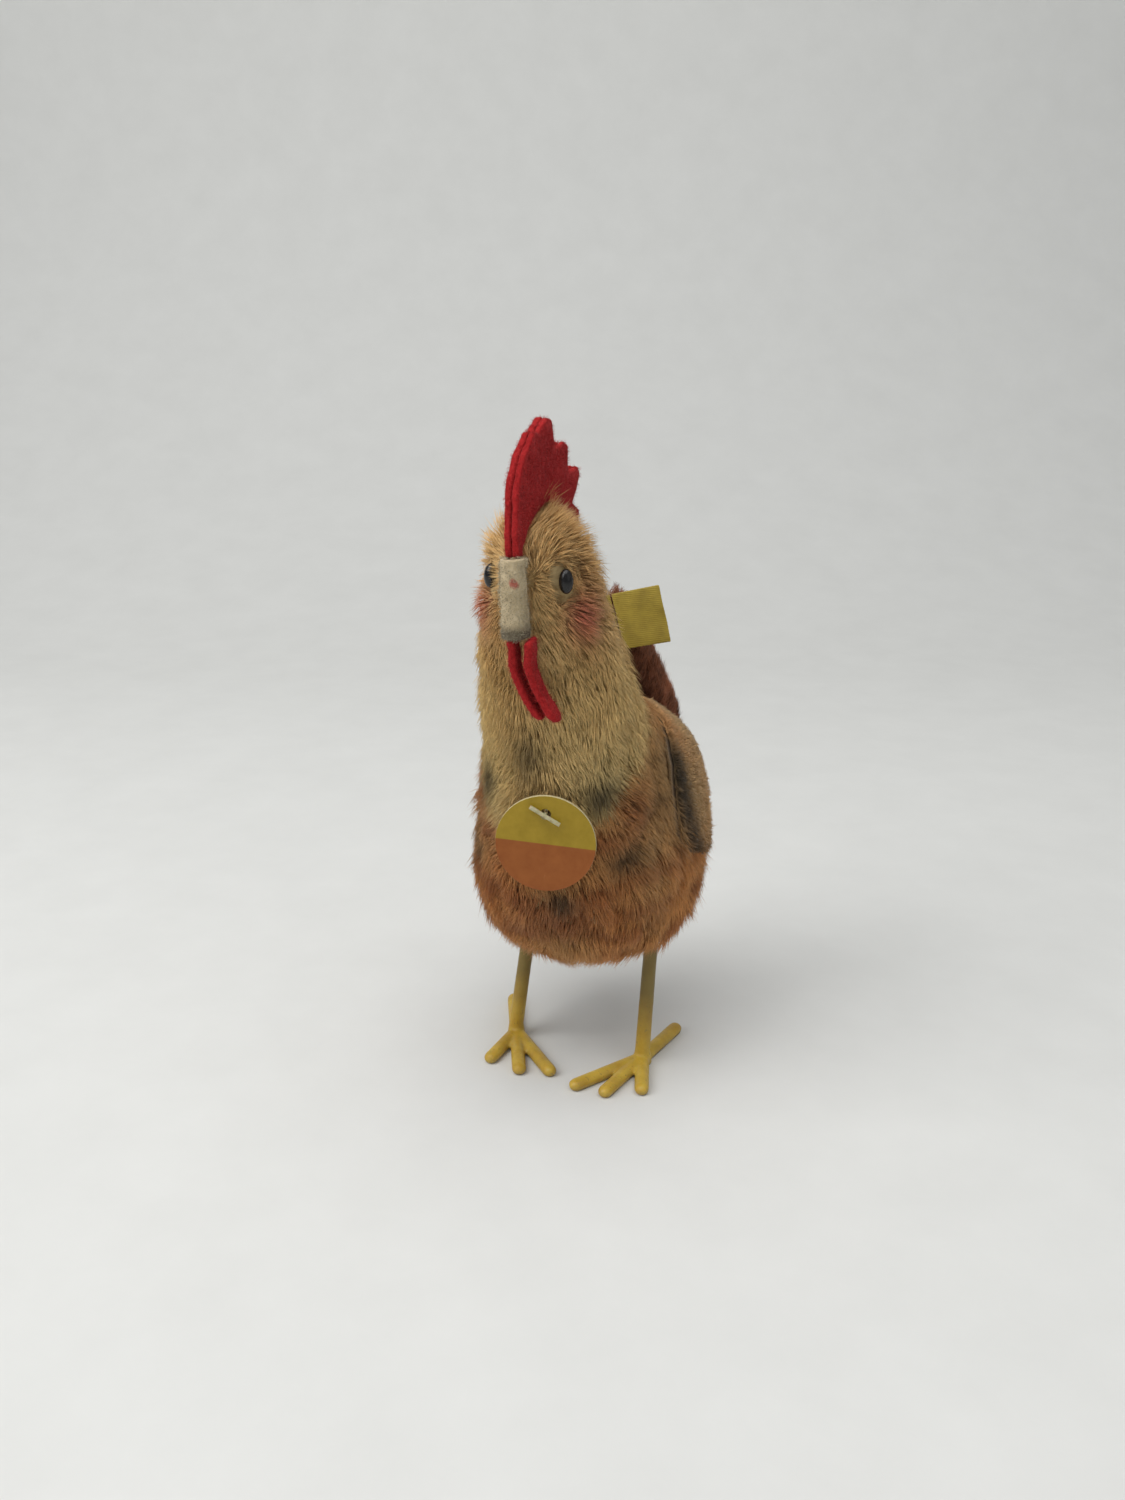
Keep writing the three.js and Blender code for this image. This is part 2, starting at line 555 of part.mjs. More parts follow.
// ---- flag label, clamped by a rivet at the tail's front edge ----
const RIVET_LIFT = 0.75; // share of the tail's rise
const labelHeight = overBack(RIVET_LIFT);
function tailFrontAt(height) {
  let low = 0.2;
  let high = 0.95;
  while (high - low > 1e-5) {
    const t = (low + high) / 2;
    if (tail.front.getPoint(t).z < height) low = t;
    else high = t;
  }
  return tail.front.getPoint(low);
}
const labelReach = LABEL_WIDTH / 2 + 1;
let tailEdge = Infinity;
for (let height = labelHeight - labelReach; height <= labelHeight + labelReach; height += 0.5) {
  tailEdge = Math.min(tailEdge, tailFrontAt(height).y);
}
const labelBack = tailEdge - GAP; // the ribbon's back face
const labelFront = labelBack - LABEL_THICKNESS;
const label = new THREE.Group();
label.position.set(0, labelBack, labelHeight);
label.rotation.y = -THREE.MathUtils.degToRad(LABEL_TILT);
group.add(label);

const ribbonPlate = (low, high) => boxSolid(
  [low, -LABEL_THICKNESS, -LABEL_WIDTH / 2], [high, 0, LABEL_WIDTH / 2]);
const rivetHole = rodSolid(vector(0, 2, 0), vector(0, -4, 0), RIVET_SHANK / 2 + GAP,
  RIVET_SHANK / 2 + GAP, 16);
addPart('flag_label_tab',
  ribbonPlate(-LABEL_TAB / 2, LABEL_TAB / 2).subtract(rivetHole), wovenRibbon(), label);
addPart('flag_label',
  ribbonPlate(LABEL_TAB / 2 + GAP, LABEL_TAB / 2 + GAP + LABEL_LENGTH), wovenRibbon(), label);

const WASHER_THICKNESS = 0.6;
const WASHER_SINK = 2.5; // clears the inside of the plush where it bends round the edge
const RIVET_DEPTH = TAIL_PLUSH + WASHER_SINK + 1.8;
const headProfile = [
  [RIVET_HEAD / 2, 0], [RIVET_HEAD / 2, 0.35], [RIVET_HEAD * 0.3, 0.8], [0, 0.95],
];
const rivetProfile = [
  [0, -RIVET_DEPTH], [RIVET_SHANK / 2, -RIVET_DEPTH], [RIVET_SHANK / 2, 0], ...headProfile,
];
const rivet = new THREE.LatheGeometry(rivetProfile.map(([r, h]) => new THREE.Vector2(r, h)), 20);
rivet.rotateZ(Math.PI);
rivet.translate(0, labelFront - GAP, labelHeight);
addPart('label_rivet', rivet, steel());

const washerFront = tailEdge + TAIL_PLUSH + WASHER_SINK;
const washerBack = washerFront + WASHER_THICKNESS;
const washerRod = (radius, front, back, sides) => rodSolid(
  inSagittalPlane(front, labelHeight), inSagittalPlane(back, labelHeight), radius, radius, sides);
const rivetRoom = washerRod(RIVET_SHANK / 2 + GAP, labelFront - 2, labelFront + RIVET_DEPTH + 2, 12);
addPart('rivet_washer',
  washerRod(RIVET_HEAD / 2, washerFront, washerBack, 20).subtract(rivetRoom), steel());
const washerRoom = washerRod(RIVET_HEAD / 2 + GAP, tailEdge + TAIL_PLUSH, washerBack + GAP, 20);

addPart('tail_plush_left',
  tailShell.intersect(leftHalf).subtract(rivetRoom), brownPlush());
addPart('tail_plush_right',
  tailShell.intersect(rightHalf).subtract(rivetRoom), brownPlush());
addPart('tail_stuffing',
  tailSolid(TAIL_PLUSH + GAP).subtract(henClear).subtract(rivetRoom).subtract(washerRoom), woodWool());

// ---- wings ----
const WING_Y = 16; // the middle of the wing behind the hips' middle
const WING_Z = belly(0.75);

// The wing's outline, grown by a margin all round. Its head end is towards the hen's head.
function wingOutline(margin) {
  const reach = WING_LENGTH / 2 + margin;
  const half = WING_DEPTH / 2 + margin;
  const outline = new THREE.Shape();
  outline.moveTo(-reach, 0);
  outline.bezierCurveTo(-reach, -half * 1.1, -reach * 0.4, -half, 0, -half);
  outline.bezierCurveTo(reach * 0.44, -half, reach * 0.84, -half * 0.62, reach, 0);
  outline.bezierCurveTo(reach * 0.8, half * 0.7, reach * 0.3, half, 0, half);
  outline.bezierCurveTo(-reach * 0.6, half, -reach, half * 0.6, -reach, 0);
  return outline;
}

const wingTop = flank * 0.3; // the sewn edge runs along the back at this distance from its middle
function wingPrism(sideSign, margin) {
  const prism = new THREE.ExtrudeGeometry(wingOutline(margin), {
    depth: FAR, bevelEnabled: false, curveSegments: 10,
  });
  prism.rotateZ(-THREE.MathUtils.degToRad(WING_TILT));
  prism.rotateX(Math.PI / 2);
  prism.rotateZ(Math.PI / 2);
  const start = wingTop - margin;
  prism.translate(sideSign > 0 ? start : -FAR - start, WING_Y, WING_Z);
  return toSolid(prism);
}
const pressedTo = -WING_SINK;
const liningInside = pressedTo + GAP;
const liningOutside = liningInside + LINING;
const wingInside = liningOutside + GAP;
const wingLayers = [
  ['wing_lining', henSolid(liningOutside).subtract(henSolid(liningInside)), creamFelt],
  ['wing_plush', henSolid(wingInside + WING_PLUSH).subtract(henSolid(wingInside)), orangePlush],
];
const tailRoom = tailSolid(-GAP);
for (const [side, sideSign] of [['left', 1], ['right', -1]]) {
  const prism = wingPrism(sideSign, 0);
  for (const [name, layer, look] of wingLayers) {
    addPart(`${name}_${side}`, layer.intersect(prism).subtract(tailRoom), look());
  }
}
const wingBed = wingPrism(1, WING_ROOM).add(wingPrism(-1, WING_ROOM)).subtract(henSolid(pressedTo));

// ---- hang tag ----
const tagRadius = TAG_DIAMETER / 2;
const tagCentre = TAG_HANG - (tagRadius - TAG_HOLE_INSET);
const tagYaw = THREE.MathUtils.degToRad(TAG_YAW);
const tagOutward = vector(Math.sin(tagYaw), -Math.cos(tagYaw), 0);
const tagAcross = vector(Math.cos(tagYaw), Math.sin(tagYaw), 0);

// How far the chest reaches along the card's outward direction, over the card's height.
let chestReach = 0;
const SUPPORT_STEPS = 24;
const lowFraction = frontFractionAt(tagCentre - tagRadius);
const highFraction = frontFractionAt(tagCentre + tagRadius);
for (let step = 0; step <= SUPPORT_STEPS; step += 1) {
  const t = lowFraction + (highFraction - lowFraction) * step / SUPPORT_STEPS;
  for (let turn = 0; turn <= SUPPORT_STEPS; turn += 1) {
    const angle = 2 * tagYaw * turn / SUPPORT_STEPS;
    chestReach = Math.max(chestReach, formPoint(hen, t, angle).dot(tagOutward));
  }
}
const cardBack = chestReach + GAP;
const cardFront = cardBack + TAG_THICKNESS;

// A point at a distance out from the hen, a distance across the card and a height.
const holeAcross = (TAG_SIDE - cardBack * Math.sin(tagYaw)) / Math.cos(tagYaw);
const tagPoint = (out, across, height) => tagOutward.clone().multiplyScalar(out)
  .addScaledVector(tagAcross, holeAcross + across).add(vector(0, 0, height));

const disc = new THREE.Shape().absarc(0, 0, tagRadius, 0, 2 * Math.PI);
disc.holes.push(new THREE.Path().absarc(0, TAG_HANG - tagCentre, TAG_HOLE / 2, 0, 2 * Math.PI, true));
const card = new THREE.ExtrudeGeometry(disc, {
  depth: TAG_THICKNESS, bevelEnabled: false, curveSegments: 24,
});
card.rotateX(Math.PI / 2);
const cardMesh = addPart('hang_tag', card, printedCard());
cardMesh.rotation.z = tagYaw;
cardMesh.position.copy(tagPoint(cardBack, 0, tagCentre));

const filament = (radius, from, to) => rodSolid(
  tagPoint(from, 0, TAG_HANG), tagPoint(to, 0, TAG_HANG), radius, radius, 10);
const barSlope = THREE.MathUtils.degToRad(31);
const barReach = tagAcross.clone().multiplyScalar(Math.cos(barSlope))
  .add(vector(0, 0, -Math.sin(barSlope))).multiplyScalar(FASTENER_BAR / 2);
const crossBar = (out, radius) => {
  const middle = tagPoint(out, 0, TAG_HANG);
  return rodSolid(middle.clone().sub(barReach), middle.clone().add(barReach), radius, radius, 8);
};
const barRadius = FASTENER * 0.6;
const barOut = cardFront + GAP + barRadius;
const ANCHOR_SINK = 1.5; // the inner bar lies this far inside the plush
const anchorOut = chestReach - PLUSH - ANCHOR_SINK;
addPart('tag_fastener', filament(FASTENER / 2, anchorOut, barOut)
  .add(crossBar(barOut, barRadius)).add(crossBar(anchorOut, barRadius)), whiteNylon());
const fastenerRoom = filament(FASTENER / 2 + GAP, anchorOut, cardFront)
  .add(crossBar(anchorOut, barRadius + GAP));
const anchorPocket = crossBar(anchorOut + barRadius, barRadius + GAP);

// ---- plush panels over the stuffing ----
const hollows = [fastenerRoom, eyeHollow, ...legHollow];
const cutAll = (solid, tools) => tools.reduce((rest, tool) => rest.subtract(tool), solid);
const skin = cutAll(henOuter.subtract(henInner), [...hollows, wireChannel, wingBed]);
addPart('neck_plush_left', skin.intersect(capeSide).intersect(leftHalf), creamPlush());
addPart('neck_plush_right', skin.intersect(capeSide).intersect(rightHalf), creamPlush());
const bodySkin = skin.intersect(bodySide);
addPart('body_plush_left', bodySkin.intersect(aboveBelly).intersect(leftHalf), orangePlush());
addPart('body_plush_right', bodySkin.intersect(aboveBelly).intersect(rightHalf), orangePlush());
addPart('belly_plush', bodySkin.intersect(belowBelly), orangePlush());

const stuffing = cutAll(henStuffing, [...hollows, anchorPocket, wireChannel]);
addPart('neck_stuffing', stuffing.intersect(capeSide), woodWool());
addPart('body_stuffing', stuffing.intersect(bodySide), woodWool());

// ---- origin ----
const box = new THREE.Box3().setFromObject(group);
group.position.set(-(box.min.x + box.max.x) / 2, -(box.min.y + box.max.y) / 2, -box.min.z);

export default group;
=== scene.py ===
"""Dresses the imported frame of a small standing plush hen: mohair pile over a stuffed body, felt comb,
beak and wattles, moulded legs, a card tag and a woven ribbon. Metres, the frame's own axes."""
import json
import math

import bmesh
import bpy
import numpy as np
from mathutils import Matrix, Vector
from mathutils.bvhtree import BVHTree
from mathutils.kdtree import KDTree


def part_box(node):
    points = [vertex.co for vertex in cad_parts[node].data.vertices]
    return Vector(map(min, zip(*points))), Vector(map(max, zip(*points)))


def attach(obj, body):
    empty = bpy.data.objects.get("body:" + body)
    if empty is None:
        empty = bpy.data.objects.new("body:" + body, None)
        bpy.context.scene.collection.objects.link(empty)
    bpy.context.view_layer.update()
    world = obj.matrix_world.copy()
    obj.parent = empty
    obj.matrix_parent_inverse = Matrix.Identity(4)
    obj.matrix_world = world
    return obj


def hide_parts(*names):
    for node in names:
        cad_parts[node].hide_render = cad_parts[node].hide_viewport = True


MM = 0.001
HANDS = (("left", 1), ("right", -1))  # each side of the hen and the sign of its x
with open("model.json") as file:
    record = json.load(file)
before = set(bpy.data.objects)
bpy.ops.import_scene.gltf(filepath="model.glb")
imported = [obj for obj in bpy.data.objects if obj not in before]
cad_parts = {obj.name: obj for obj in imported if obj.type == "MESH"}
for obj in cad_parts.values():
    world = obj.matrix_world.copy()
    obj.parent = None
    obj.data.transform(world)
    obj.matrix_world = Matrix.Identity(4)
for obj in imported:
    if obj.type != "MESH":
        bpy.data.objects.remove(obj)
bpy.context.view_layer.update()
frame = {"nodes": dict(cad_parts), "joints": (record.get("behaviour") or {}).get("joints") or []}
nodes = frame["nodes"]
scene = bpy.context.scene


# ---- camera and light ----
VIEW_AZIMUTH = 22
VIEW_ELEVATION = 18
VIEW_DISTANCE = 0.285
VIEW_CENTRE = Vector((-0.006, -0.003, 0.072))
LIGHT_CENTRE = Vector((0, 0, 0.07))
DAYLIGHT = (0.93, 0.96, 1.0, 1)


def aimed(azimuth, elevation):
    """The unit vector from the hen towards a viewer at these angles."""
    a, e = math.radians(azimuth), math.radians(elevation)
    return Vector((math.sin(a) * math.cos(e), -math.cos(a) * math.cos(e), math.sin(e)))


def make_camera():
    data = bpy.data.cameras.new("camera")
    data.lens = 31.2
    data.sensor_width = 36.0
    data.clip_start = 0.01
    data.clip_end = 20.0
    camera = bpy.data.objects.new("camera", data)
    scene.collection.objects.link(camera)
    back = aimed(VIEW_AZIMUTH, VIEW_ELEVATION)
    camera.location = VIEW_CENTRE + back * VIEW_DISTANCE
    camera.rotation_mode = "QUATERNION"
    camera.rotation_quaternion = (-back).to_track_quat("-Z", "Y")
    scene.camera = camera


def area_light(name, azimuth, elevation, distance, size, power):
    data = bpy.data.lights.new(name, "AREA")
    data.shape = "DISK"
    data.size = size
    data.energy = power
    light = bpy.data.objects.new(name, data)
    scene.collection.objects.link(light)
    way = aimed(azimuth, elevation)
    light.location = LIGHT_CENTRE + way * distance
    light.rotation_mode = "QUATERNION"
    light.rotation_quaternion = way.to_track_quat("Z", "Y")


def make_world(colour, strength):
    world = bpy.data.worlds.new("world")
    world.use_nodes = True
    background = world.node_tree.nodes["Background"]
    background.inputs["Color"].default_value = colour
    background.inputs["Strength"].default_value = strength
    scene.world = world


make_camera()
area_light("overhead", azimuth=20, elevation=78, distance=0.9, size=1.0, power=5.9)
area_light("window", azimuth=-40, elevation=40, distance=0.9, size=0.7, power=4.1)
area_light("fill", azimuth=70, elevation=25, distance=1.0, size=0.8, power=0.5)
make_world(DAYLIGHT, 0.27)
scene.view_settings.view_transform = "Standard"


# ---- materials ----
class Shader:
    """A material's node tree, with short calls for the nodes that are used here."""

    def __init__(self, name, roughness, **sockets):
        self.material = bpy.data.materials.new(name)
        self.material.use_nodes = True
        self.tree = self.material.node_tree
        self.surface = self.tree.nodes["Principled BSDF"]
        self.surface.inputs["Roughness"].default_value = roughness
        for key, value in sockets.items():
            self.surface.inputs[key.replace("_", " ")].default_value = value
        self.coordinates = self.tree.nodes.new("ShaderNodeTexCoord").outputs["Object"]

    def node(self, kind, inputs=(), output=0, **settings):
        made = self.tree.nodes.new(kind)
        for key, value in settings.items():
            setattr(made, key, value)
        for key, value in dict(inputs).items():
            if isinstance(value, bpy.types.NodeSocket):
                self.tree.links.new(value, made.inputs[key])
            else:
                made.inputs[key].default_value = value
        return made.outputs[output]

    def noise(self, scale, detail=4.0, roughness=0.6, stretch=None):
        where = self.coordinates
        if stretch:
            where = self.node("ShaderNodeMapping", {"Vector": where, "Scale": stretch})
        return self.node("ShaderNodeTexNoise", {
            "Vector": where, "Scale": scale, "Detail": detail, "Roughness": roughness})

    def ramp(self, value, low, high, start=0.0, end=1.0):
        return self.node("ShaderNodeMapRange", {
            "Value": value, "From Min": low, "From Max": high, "To Min": start, "To Max": end})

    def mix(self, factor, a, b, blend="MIX"):
        made = self.tree.nodes.new("ShaderNodeMix")
        made.data_type = "RGBA"
        made.blend_type = blend
        for key, value in ((0, factor), (6, a), (7, b)):
            if isinstance(value, bpy.types.NodeSocket):
                self.tree.links.new(value, made.inputs[key])
            elif key:
                made.inputs[key].default_value = (*value, 1)
            else:
                made.inputs[key].default_value = value
        return made.outputs[2]

    def math(self, operation, a, b=0.0):
        return self.node("ShaderNodeMath", {0: a, 1: b}, operation=operation)

    def axis(self, letter):
        return self.node("ShaderNodeSeparateXYZ", {0: self.coordinates}, output="XYZ".index(letter))

    def tinted(self, colour, shade):
        """A colour made lighter or darker by a single value."""
        grey = self.node("ShaderNodeCombineColor", {0: shade, 1: shade, 2: shade})
        return self.mix(1.0, colour, grey, "MULTIPLY")

    def wave(self, direction, scale, distortion, **inputs):
        """Threads that lie side by side along an axis."""
        named = {key.replace("_", " "): value for key, value in inputs.items()}
        return self.node("ShaderNodeTexWave", {
            "Vector": self.coordinates, "Scale": scale, "Distortion": distortion, **named,
        }, output=1, bands_direction=direction)

    def ragged_height(self, scale, detail, depth):
        """The height above the ground, made uneven so that dirt ends on a ragged line."""
        return self.math("ADD", self.axis("Z"), self.math("MULTIPLY", self.noise(scale, detail), depth))

    def colour(self, socket):
        self.tree.links.new(socket, self.surface.inputs["Base Color"])

    def rough(self, socket):
        self.tree.links.new(socket, self.surface.inputs["Roughness"])

    def bump(self, height, depth, strength=1.0):
        normal = self.node("ShaderNodeBump", {
            "Height": height, "Distance": depth, "Strength": strength})
        self.tree.links.new(normal, self.surface.inputs["Normal"])


def pile_material(name, sheen):
    """Hair or wool: the colour is on the strands, with a fine unevenness from strand to strand."""
    s = Shader(name, 0.7, Specular_IOR_Level=0.16, Sheen_Weight=sheen, Sheen_Roughness=0.5)
    base = s.node("ShaderNodeAttribute", attribute_name="pile")
    uneven = s.ramp(s.noise(900, 3), 0.3, 0.7, 0.86, 1.12)
    s.colour(s.tinted(base, uneven))
    s.rough(s.ramp(s.noise(420, 2), 0.3, 0.7, 0.55, 0.75))
    return s.material


def backing_material():
    """The woven ground under the pile."""
    s = Shader("woven_ground", 0.95, Specular_IOR_Level=0.1)
    base = s.node("ShaderNodeAttribute", attribute_name="pile")
    weave = s.math("MULTIPLY", s.wave("Z", 900, 1.0), s.wave("X", 900, 1.0))
    s.colour(s.tinted(base, s.ramp(weave, 0, 1, 0.75, 1.05)))
    s.bump(weave, 0.0001, 0.6)
    return s.material


def felt_material(name, deep, light, dirt=None, fleck=None):
    """Pressed wool: tangled fibres and blotches, with dirt on the lowest edge and a small fleck if given."""
    s = Shader(name, 0.95, Specular_IOR_Level=0.06, Sheen_Weight=0.08, Sheen_Roughness=0.4)
    fibres = s.noise(1500, 5, 0.7)
    blotches = s.noise(260, 3)
    tangle = s.node("ShaderNodeTexVoronoi", {"Vector": s.coordinates, "Scale": 1900}, feature="F1")
    tone = s.math("ADD", s.math("MULTIPLY", fibres, 0.6), s.math("MULTIPLY", blotches, 0.4))
    colour = s.mix(s.ramp(tone, 0.36, 0.64), deep, light)
    if dirt:
        low, high, stain = dirt
        colour = s.mix(s.ramp(s.ragged_height(500, 3, 1.2 * MM), low, high, 0.85, 0), colour, stain)
    if fleck:
        centre, reach, tint = fleck
        away = s.node("ShaderNodeVectorMath", {0: s.coordinates, 1: centre}, 1, operation="DISTANCE")
        ragged = s.math("ADD", away, s.math("MULTIPLY", s.noise(1100, 3), reach))
        colour = s.mix(s.ramp(ragged, reach * 1.1, reach * 1.5, 0.7, 0), colour, tint)
    s.colour(colour)
    s.bump(s.math("ADD", fibres, s.math("MULTIPLY", tangle, 0.5)), 0.00022, 0.7)
    return s.material


def vinyl_material():
    """Soft moulded plastic, rubbed and a little dirty towards the ground, with painted shade darkening the
    shins up towards the body.
    """
    s = Shader("moulded_vinyl", 0.48, Specular_IOR_Level=0.42, Subsurface_Weight=0.12,
               Subsurface_Scale=0.0012, Coat_Weight=0.05)
    tone = s.noise(160, 5)
    body = s.mix(s.ramp(tone, 0.35, 0.68), (0.44, 0.265, 0.026), (0.63, 0.43, 0.055))
    specks = s.ramp(s.noise(1300, 2, 0.5), 0.62, 0.72, 0, 0.55)
    worn = s.mix(specks, body, (0.24, 0.16, 0.045))
    grime = s.ramp(s.ragged_height(300, 4, 6 * MM), 2.8 * MM, 5.2 * MM, 0.5, 0)
    faded = s.mix(grime, worn, (0.33, 0.235, 0.085))
    # painted shade: the shins are painted darker from 5 mm up to 18 mm, where the body shades them
    s.colour(s.mix(s.ramp(s.axis("Z"), 5 * MM, 18 * MM, 0, 0.9), faded, (0.17, 0.118, 0.028)))
    s.rough(s.ramp(s.noise(500, 3), 0.3, 0.7, 0.38, 0.6))
    s.bump(s.noise(900, 3), 0.00012, 0.35)
    return s.material


def card_material(centre, tilt):
    """A printed card: one colour above and one below a slanting line through its middle."""
    s = Shader("printed_card", 0.5, Specular_IOR_Level=0.25, Coat_Weight=0.05, Coat_Roughness=0.4)
    height = s.math("ADD", s.math("SUBTRACT", s.axis("Z"), centre[2]),
                    s.math("MULTIPLY", s.math("SUBTRACT", s.axis("X"), centre[0]), tilt))
    wear = s.noise(380, 4)
    upper = s.mix(s.ramp(wear, 0.3, 0.7), (0.28, 0.185, 0.010), (0.36, 0.24, 0.020))
    lower = s.mix(s.ramp(wear, 0.3, 0.7), (0.245, 0.066, 0.010), (0.31, 0.094, 0.018))
    s.colour(s.mix(s.ramp(height, -0.08 * MM, 0.08 * MM), lower, upper))
    s.rough(s.ramp(wear, 0.3, 0.7, 0.34, 0.5))
    s.bump(s.noise(1400, 3), 0.00004, 0.4)
    return s.material


def paper_rim_material():
    """The pale inside of the card, where its rim is cut."""
    s = Shader("card_core", 0.9, Specular_IOR_Level=0.15)
    fibres = s.noise(2200, 4)
    s.colour(s.mix(s.ramp(fibres, 0.3, 0.7), (0.50, 0.42, 0.22), (0.66, 0.58, 0.36)))
    s.bump(fibres, 0.00005, 0.5)
    return s.material


def ribbon_material():
    """Plain woven satin ribbon: fine ribs across, and slubs."""
    s = Shader("woven_ribbon", 0.55, Specular_IOR_Level=0.35, Sheen_Weight=0.2)
    ribs = s.wave("Z", 700, 0.6, Detail_Scale=4.0)
    warp = s.wave("X", 1100, 0.8)
    slubs = s.noise(320, 4)
    tone = s.math("ADD", s.math("MULTIPLY", ribs, 0.12), s.math("MULTIPLY", slubs, 0.88))
    s.colour(s.mix(s.ramp(tone, 0.2, 0.75), (0.25, 0.175, 0.016), (0.47, 0.345, 0.042)))
    s.bump(s.math("ADD", ribs, s.math("MULTIPLY", warp, 0.6)), 0.00006, 0.7)
    return s.material


def eye_material():
    """Polished black with a brown cast, dust and hairline scratches."""
    s = Shader("polished_black", 0.2, Specular_IOR_Level=0.4, Coat_Weight=0.08, Coat_Roughness=0.1)
    dust = s.ramp(s.noise(900, 4), 0.56, 0.78, 0, 0.22)
    s.colour(s.mix(dust, (0.006, 0.005, 0.005), (0.10, 0.085, 0.07)))
    s.rough(s.ramp(s.noise(1600, 3, stretch=(1, 1, 0.2)), 0.35, 0.75, 0.16, 0.36))
    return s.material


def nylon_material():
    """Nylon that has yellowed a little with age."""
    s = Shader("white_nylon", 0.4, Specular_IOR_Level=0.4, Subsurface_Weight=0.2, Subsurface_Scale=0.0008)
    haze = s.noise(700, 3)
    s.colour(s.mix(s.ramp(haze, 0.3, 0.7), (0.36, 0.32, 0.17), (0.52, 0.48, 0.31)))
    s.rough(s.ramp(haze, 0.3, 0.7, 0.32, 0.5))
    return s.material


def steel_material():
    """Drawn wire with a few rust spots."""
    s = Shader("drawn_steel", 0.35, Metallic=1.0)
    drawn = s.noise(900, 4, stretch=(1, 1, 0.15))
    spots = s.ramp(s.noise(600, 4), 0.6, 0.75, 0, 0.5)
    s.colour(s.mix(spots, (0.46, 0.45, 0.44), (0.20, 0.15, 0.11)))
    s.rough(s.ramp(drawn, 0.3, 0.7, 0.25, 0.5))
    s.bump(drawn, 0.00003, 0.4)
    return s.material


def wool_material():
    """Packed wood wool: long pale shavings lying every way."""
    s = Shader("wood_wool", 0.95, Specular_IOR_Level=0.1)
    shavings = s.noise(500, 5, stretch=(1, 0.25, 1))
    s.colour(s.mix(s.ramp(shavings, 0.35, 0.65), (0.26, 0.17, 0.075), (0.52, 0.39, 0.20)))
    s.bump(shavings, 0.0006, 0.8)
    return s.material


def shaded_cotton_material():
    """The thin cloth that lines the wings, painted dark brown as shade so that its edge reads as the shadow
    at the wing's front.
    """
    s = Shader("wing_cotton_shaded", 0.9, Specular_IOR_Level=0.15, Sheen_Weight=0.15)
    weave = s.math("MULTIPLY", s.wave("Z", 650, 0.8), s.wave("Y", 650, 0.8))
    tone = s.math("ADD", s.math("MULTIPLY", weave, 0.3), s.math("MULTIPLY", s.noise(240, 4), 0.7))
    # painted shade: dark browns, so that the lining's edge reads as shadow
    s.colour(s.mix(s.ramp(tone, 0.25, 0.65), (0.16, 0.095, 0.045), (0.26, 0.165, 0.080)))
    s.bump(weave, 0.0001, 0.6)
    return s.material


def floor_material():
    """Matt pale paper."""
    s = Shader("pale_paper", 0.9, Specular_IOR_Level=0.1)
    fibres = s.noise(40, 5)
    s.colour(s.mix(s.ramp(fibres, 0.3, 0.7), (0.69, 0.69, 0.665), (0.72, 0.72, 0.695)))
    s.bump(s.noise(900, 3), 0.00005, 0.3)
    return s.material


mohair = pile_material("mohair", 0.06)
wool_fibre = pile_material("wool_fibre", 0.0)
woven_ground = backing_material()
red_felt = felt_material("red_felt", (0.27, 0.011, 0.013), (0.47, 0.030, 0.030))
vinyl = vinyl_material()
steel = steel_material()
nylon = nylon_material()
polished = eye_material()
ribbon = ribbon_material()
wood_wool = wool_material()
cotton = shaded_cotton_material()


# ---- mesh helpers ----
WELD_DISTANCE = 0.01 * MM


def coordinates(mesh):
    flat = np.empty(len(mesh.vertices) * 3)
    mesh.vertices.foreach_get("co", flat)
    return flat.reshape(-1, 3)


def set_coordinates(mesh, points):
    mesh.vertices.foreach_set("co", np.ascontiguousarray(points, dtype=np.float32).ravel())
    mesh.update()


def vertex_normals(mesh):
    flat = np.empty(len(mesh.vertices) * 3)
    mesh.vertex_normals.foreach_get("vector", flat)
    return flat.reshape(-1, 3)


def new_piece(name, mesh, material, smooth=True):
    piece = bpy.data.objects.new(name, mesh)
    scene.collection.objects.link(piece)
    mesh.materials.clear()
    mesh.materials.append(material)
    mesh.polygons.foreach_set("use_smooth", np.full(len(mesh.polygons), smooth))
    return piece


def joined(name, node_names):
    """One mesh that holds copies of these CAD nodes' meshes."""
    work = bmesh.new()
    for node_name in node_names:
        work.from_mesh(nodes[node_name].data)
    mesh = bpy.data.meshes.new(name)
    work.to_mesh(mesh)
    work.free()
    return mesh


def applied(piece):
    """Makes the piece's modifiers part of its mesh."""
    graph = bpy.context.evaluated_depsgraph_get()
    mesh = bpy.data.meshes.new_from_object(piece.evaluated_get(graph))
    piece.modifiers.clear()
    piece.data = mesh
    return piece


def remeshed(name, mesh, voxel, rounds, material):
    """A piece with this mesh's shape, evenly meshed and smoothed."""
    piece = new_piece(name, mesh, material)
    remesh = piece.modifiers.new("remesh", "REMESH")
    remesh.mode = "VOXEL"
    remesh.voxel_size = voxel
    remesh.use_smooth_shade = True
    smooth = piece.modifiers.new("smooth", "SMOOTH")
    smooth.factor = 0.5
    smooth.iterations = rounds
    applied(piece)
    piece.data.name = name
    return piece


def subdivided(name, node_name, levels, material):
    """A rounded copy of a CAD node."""
    piece = new_piece(name, joined(name, [node_name]), material)
    weld = piece.modifiers.new("weld", "WELD")
    weld.merge_threshold = WELD_DISTANCE
    subsurf = piece.modifiers.new("subdivide", "SUBSURF")
    subsurf.levels = levels
    subsurf.render_levels = levels
    applied(piece)
    piece.data.name = name
    return piece


def tree_of(mesh):
    work = bmesh.new()
    work.from_mesh(mesh)
    tree = BVHTree.FromBMesh(work)
    work.free()
    return tree


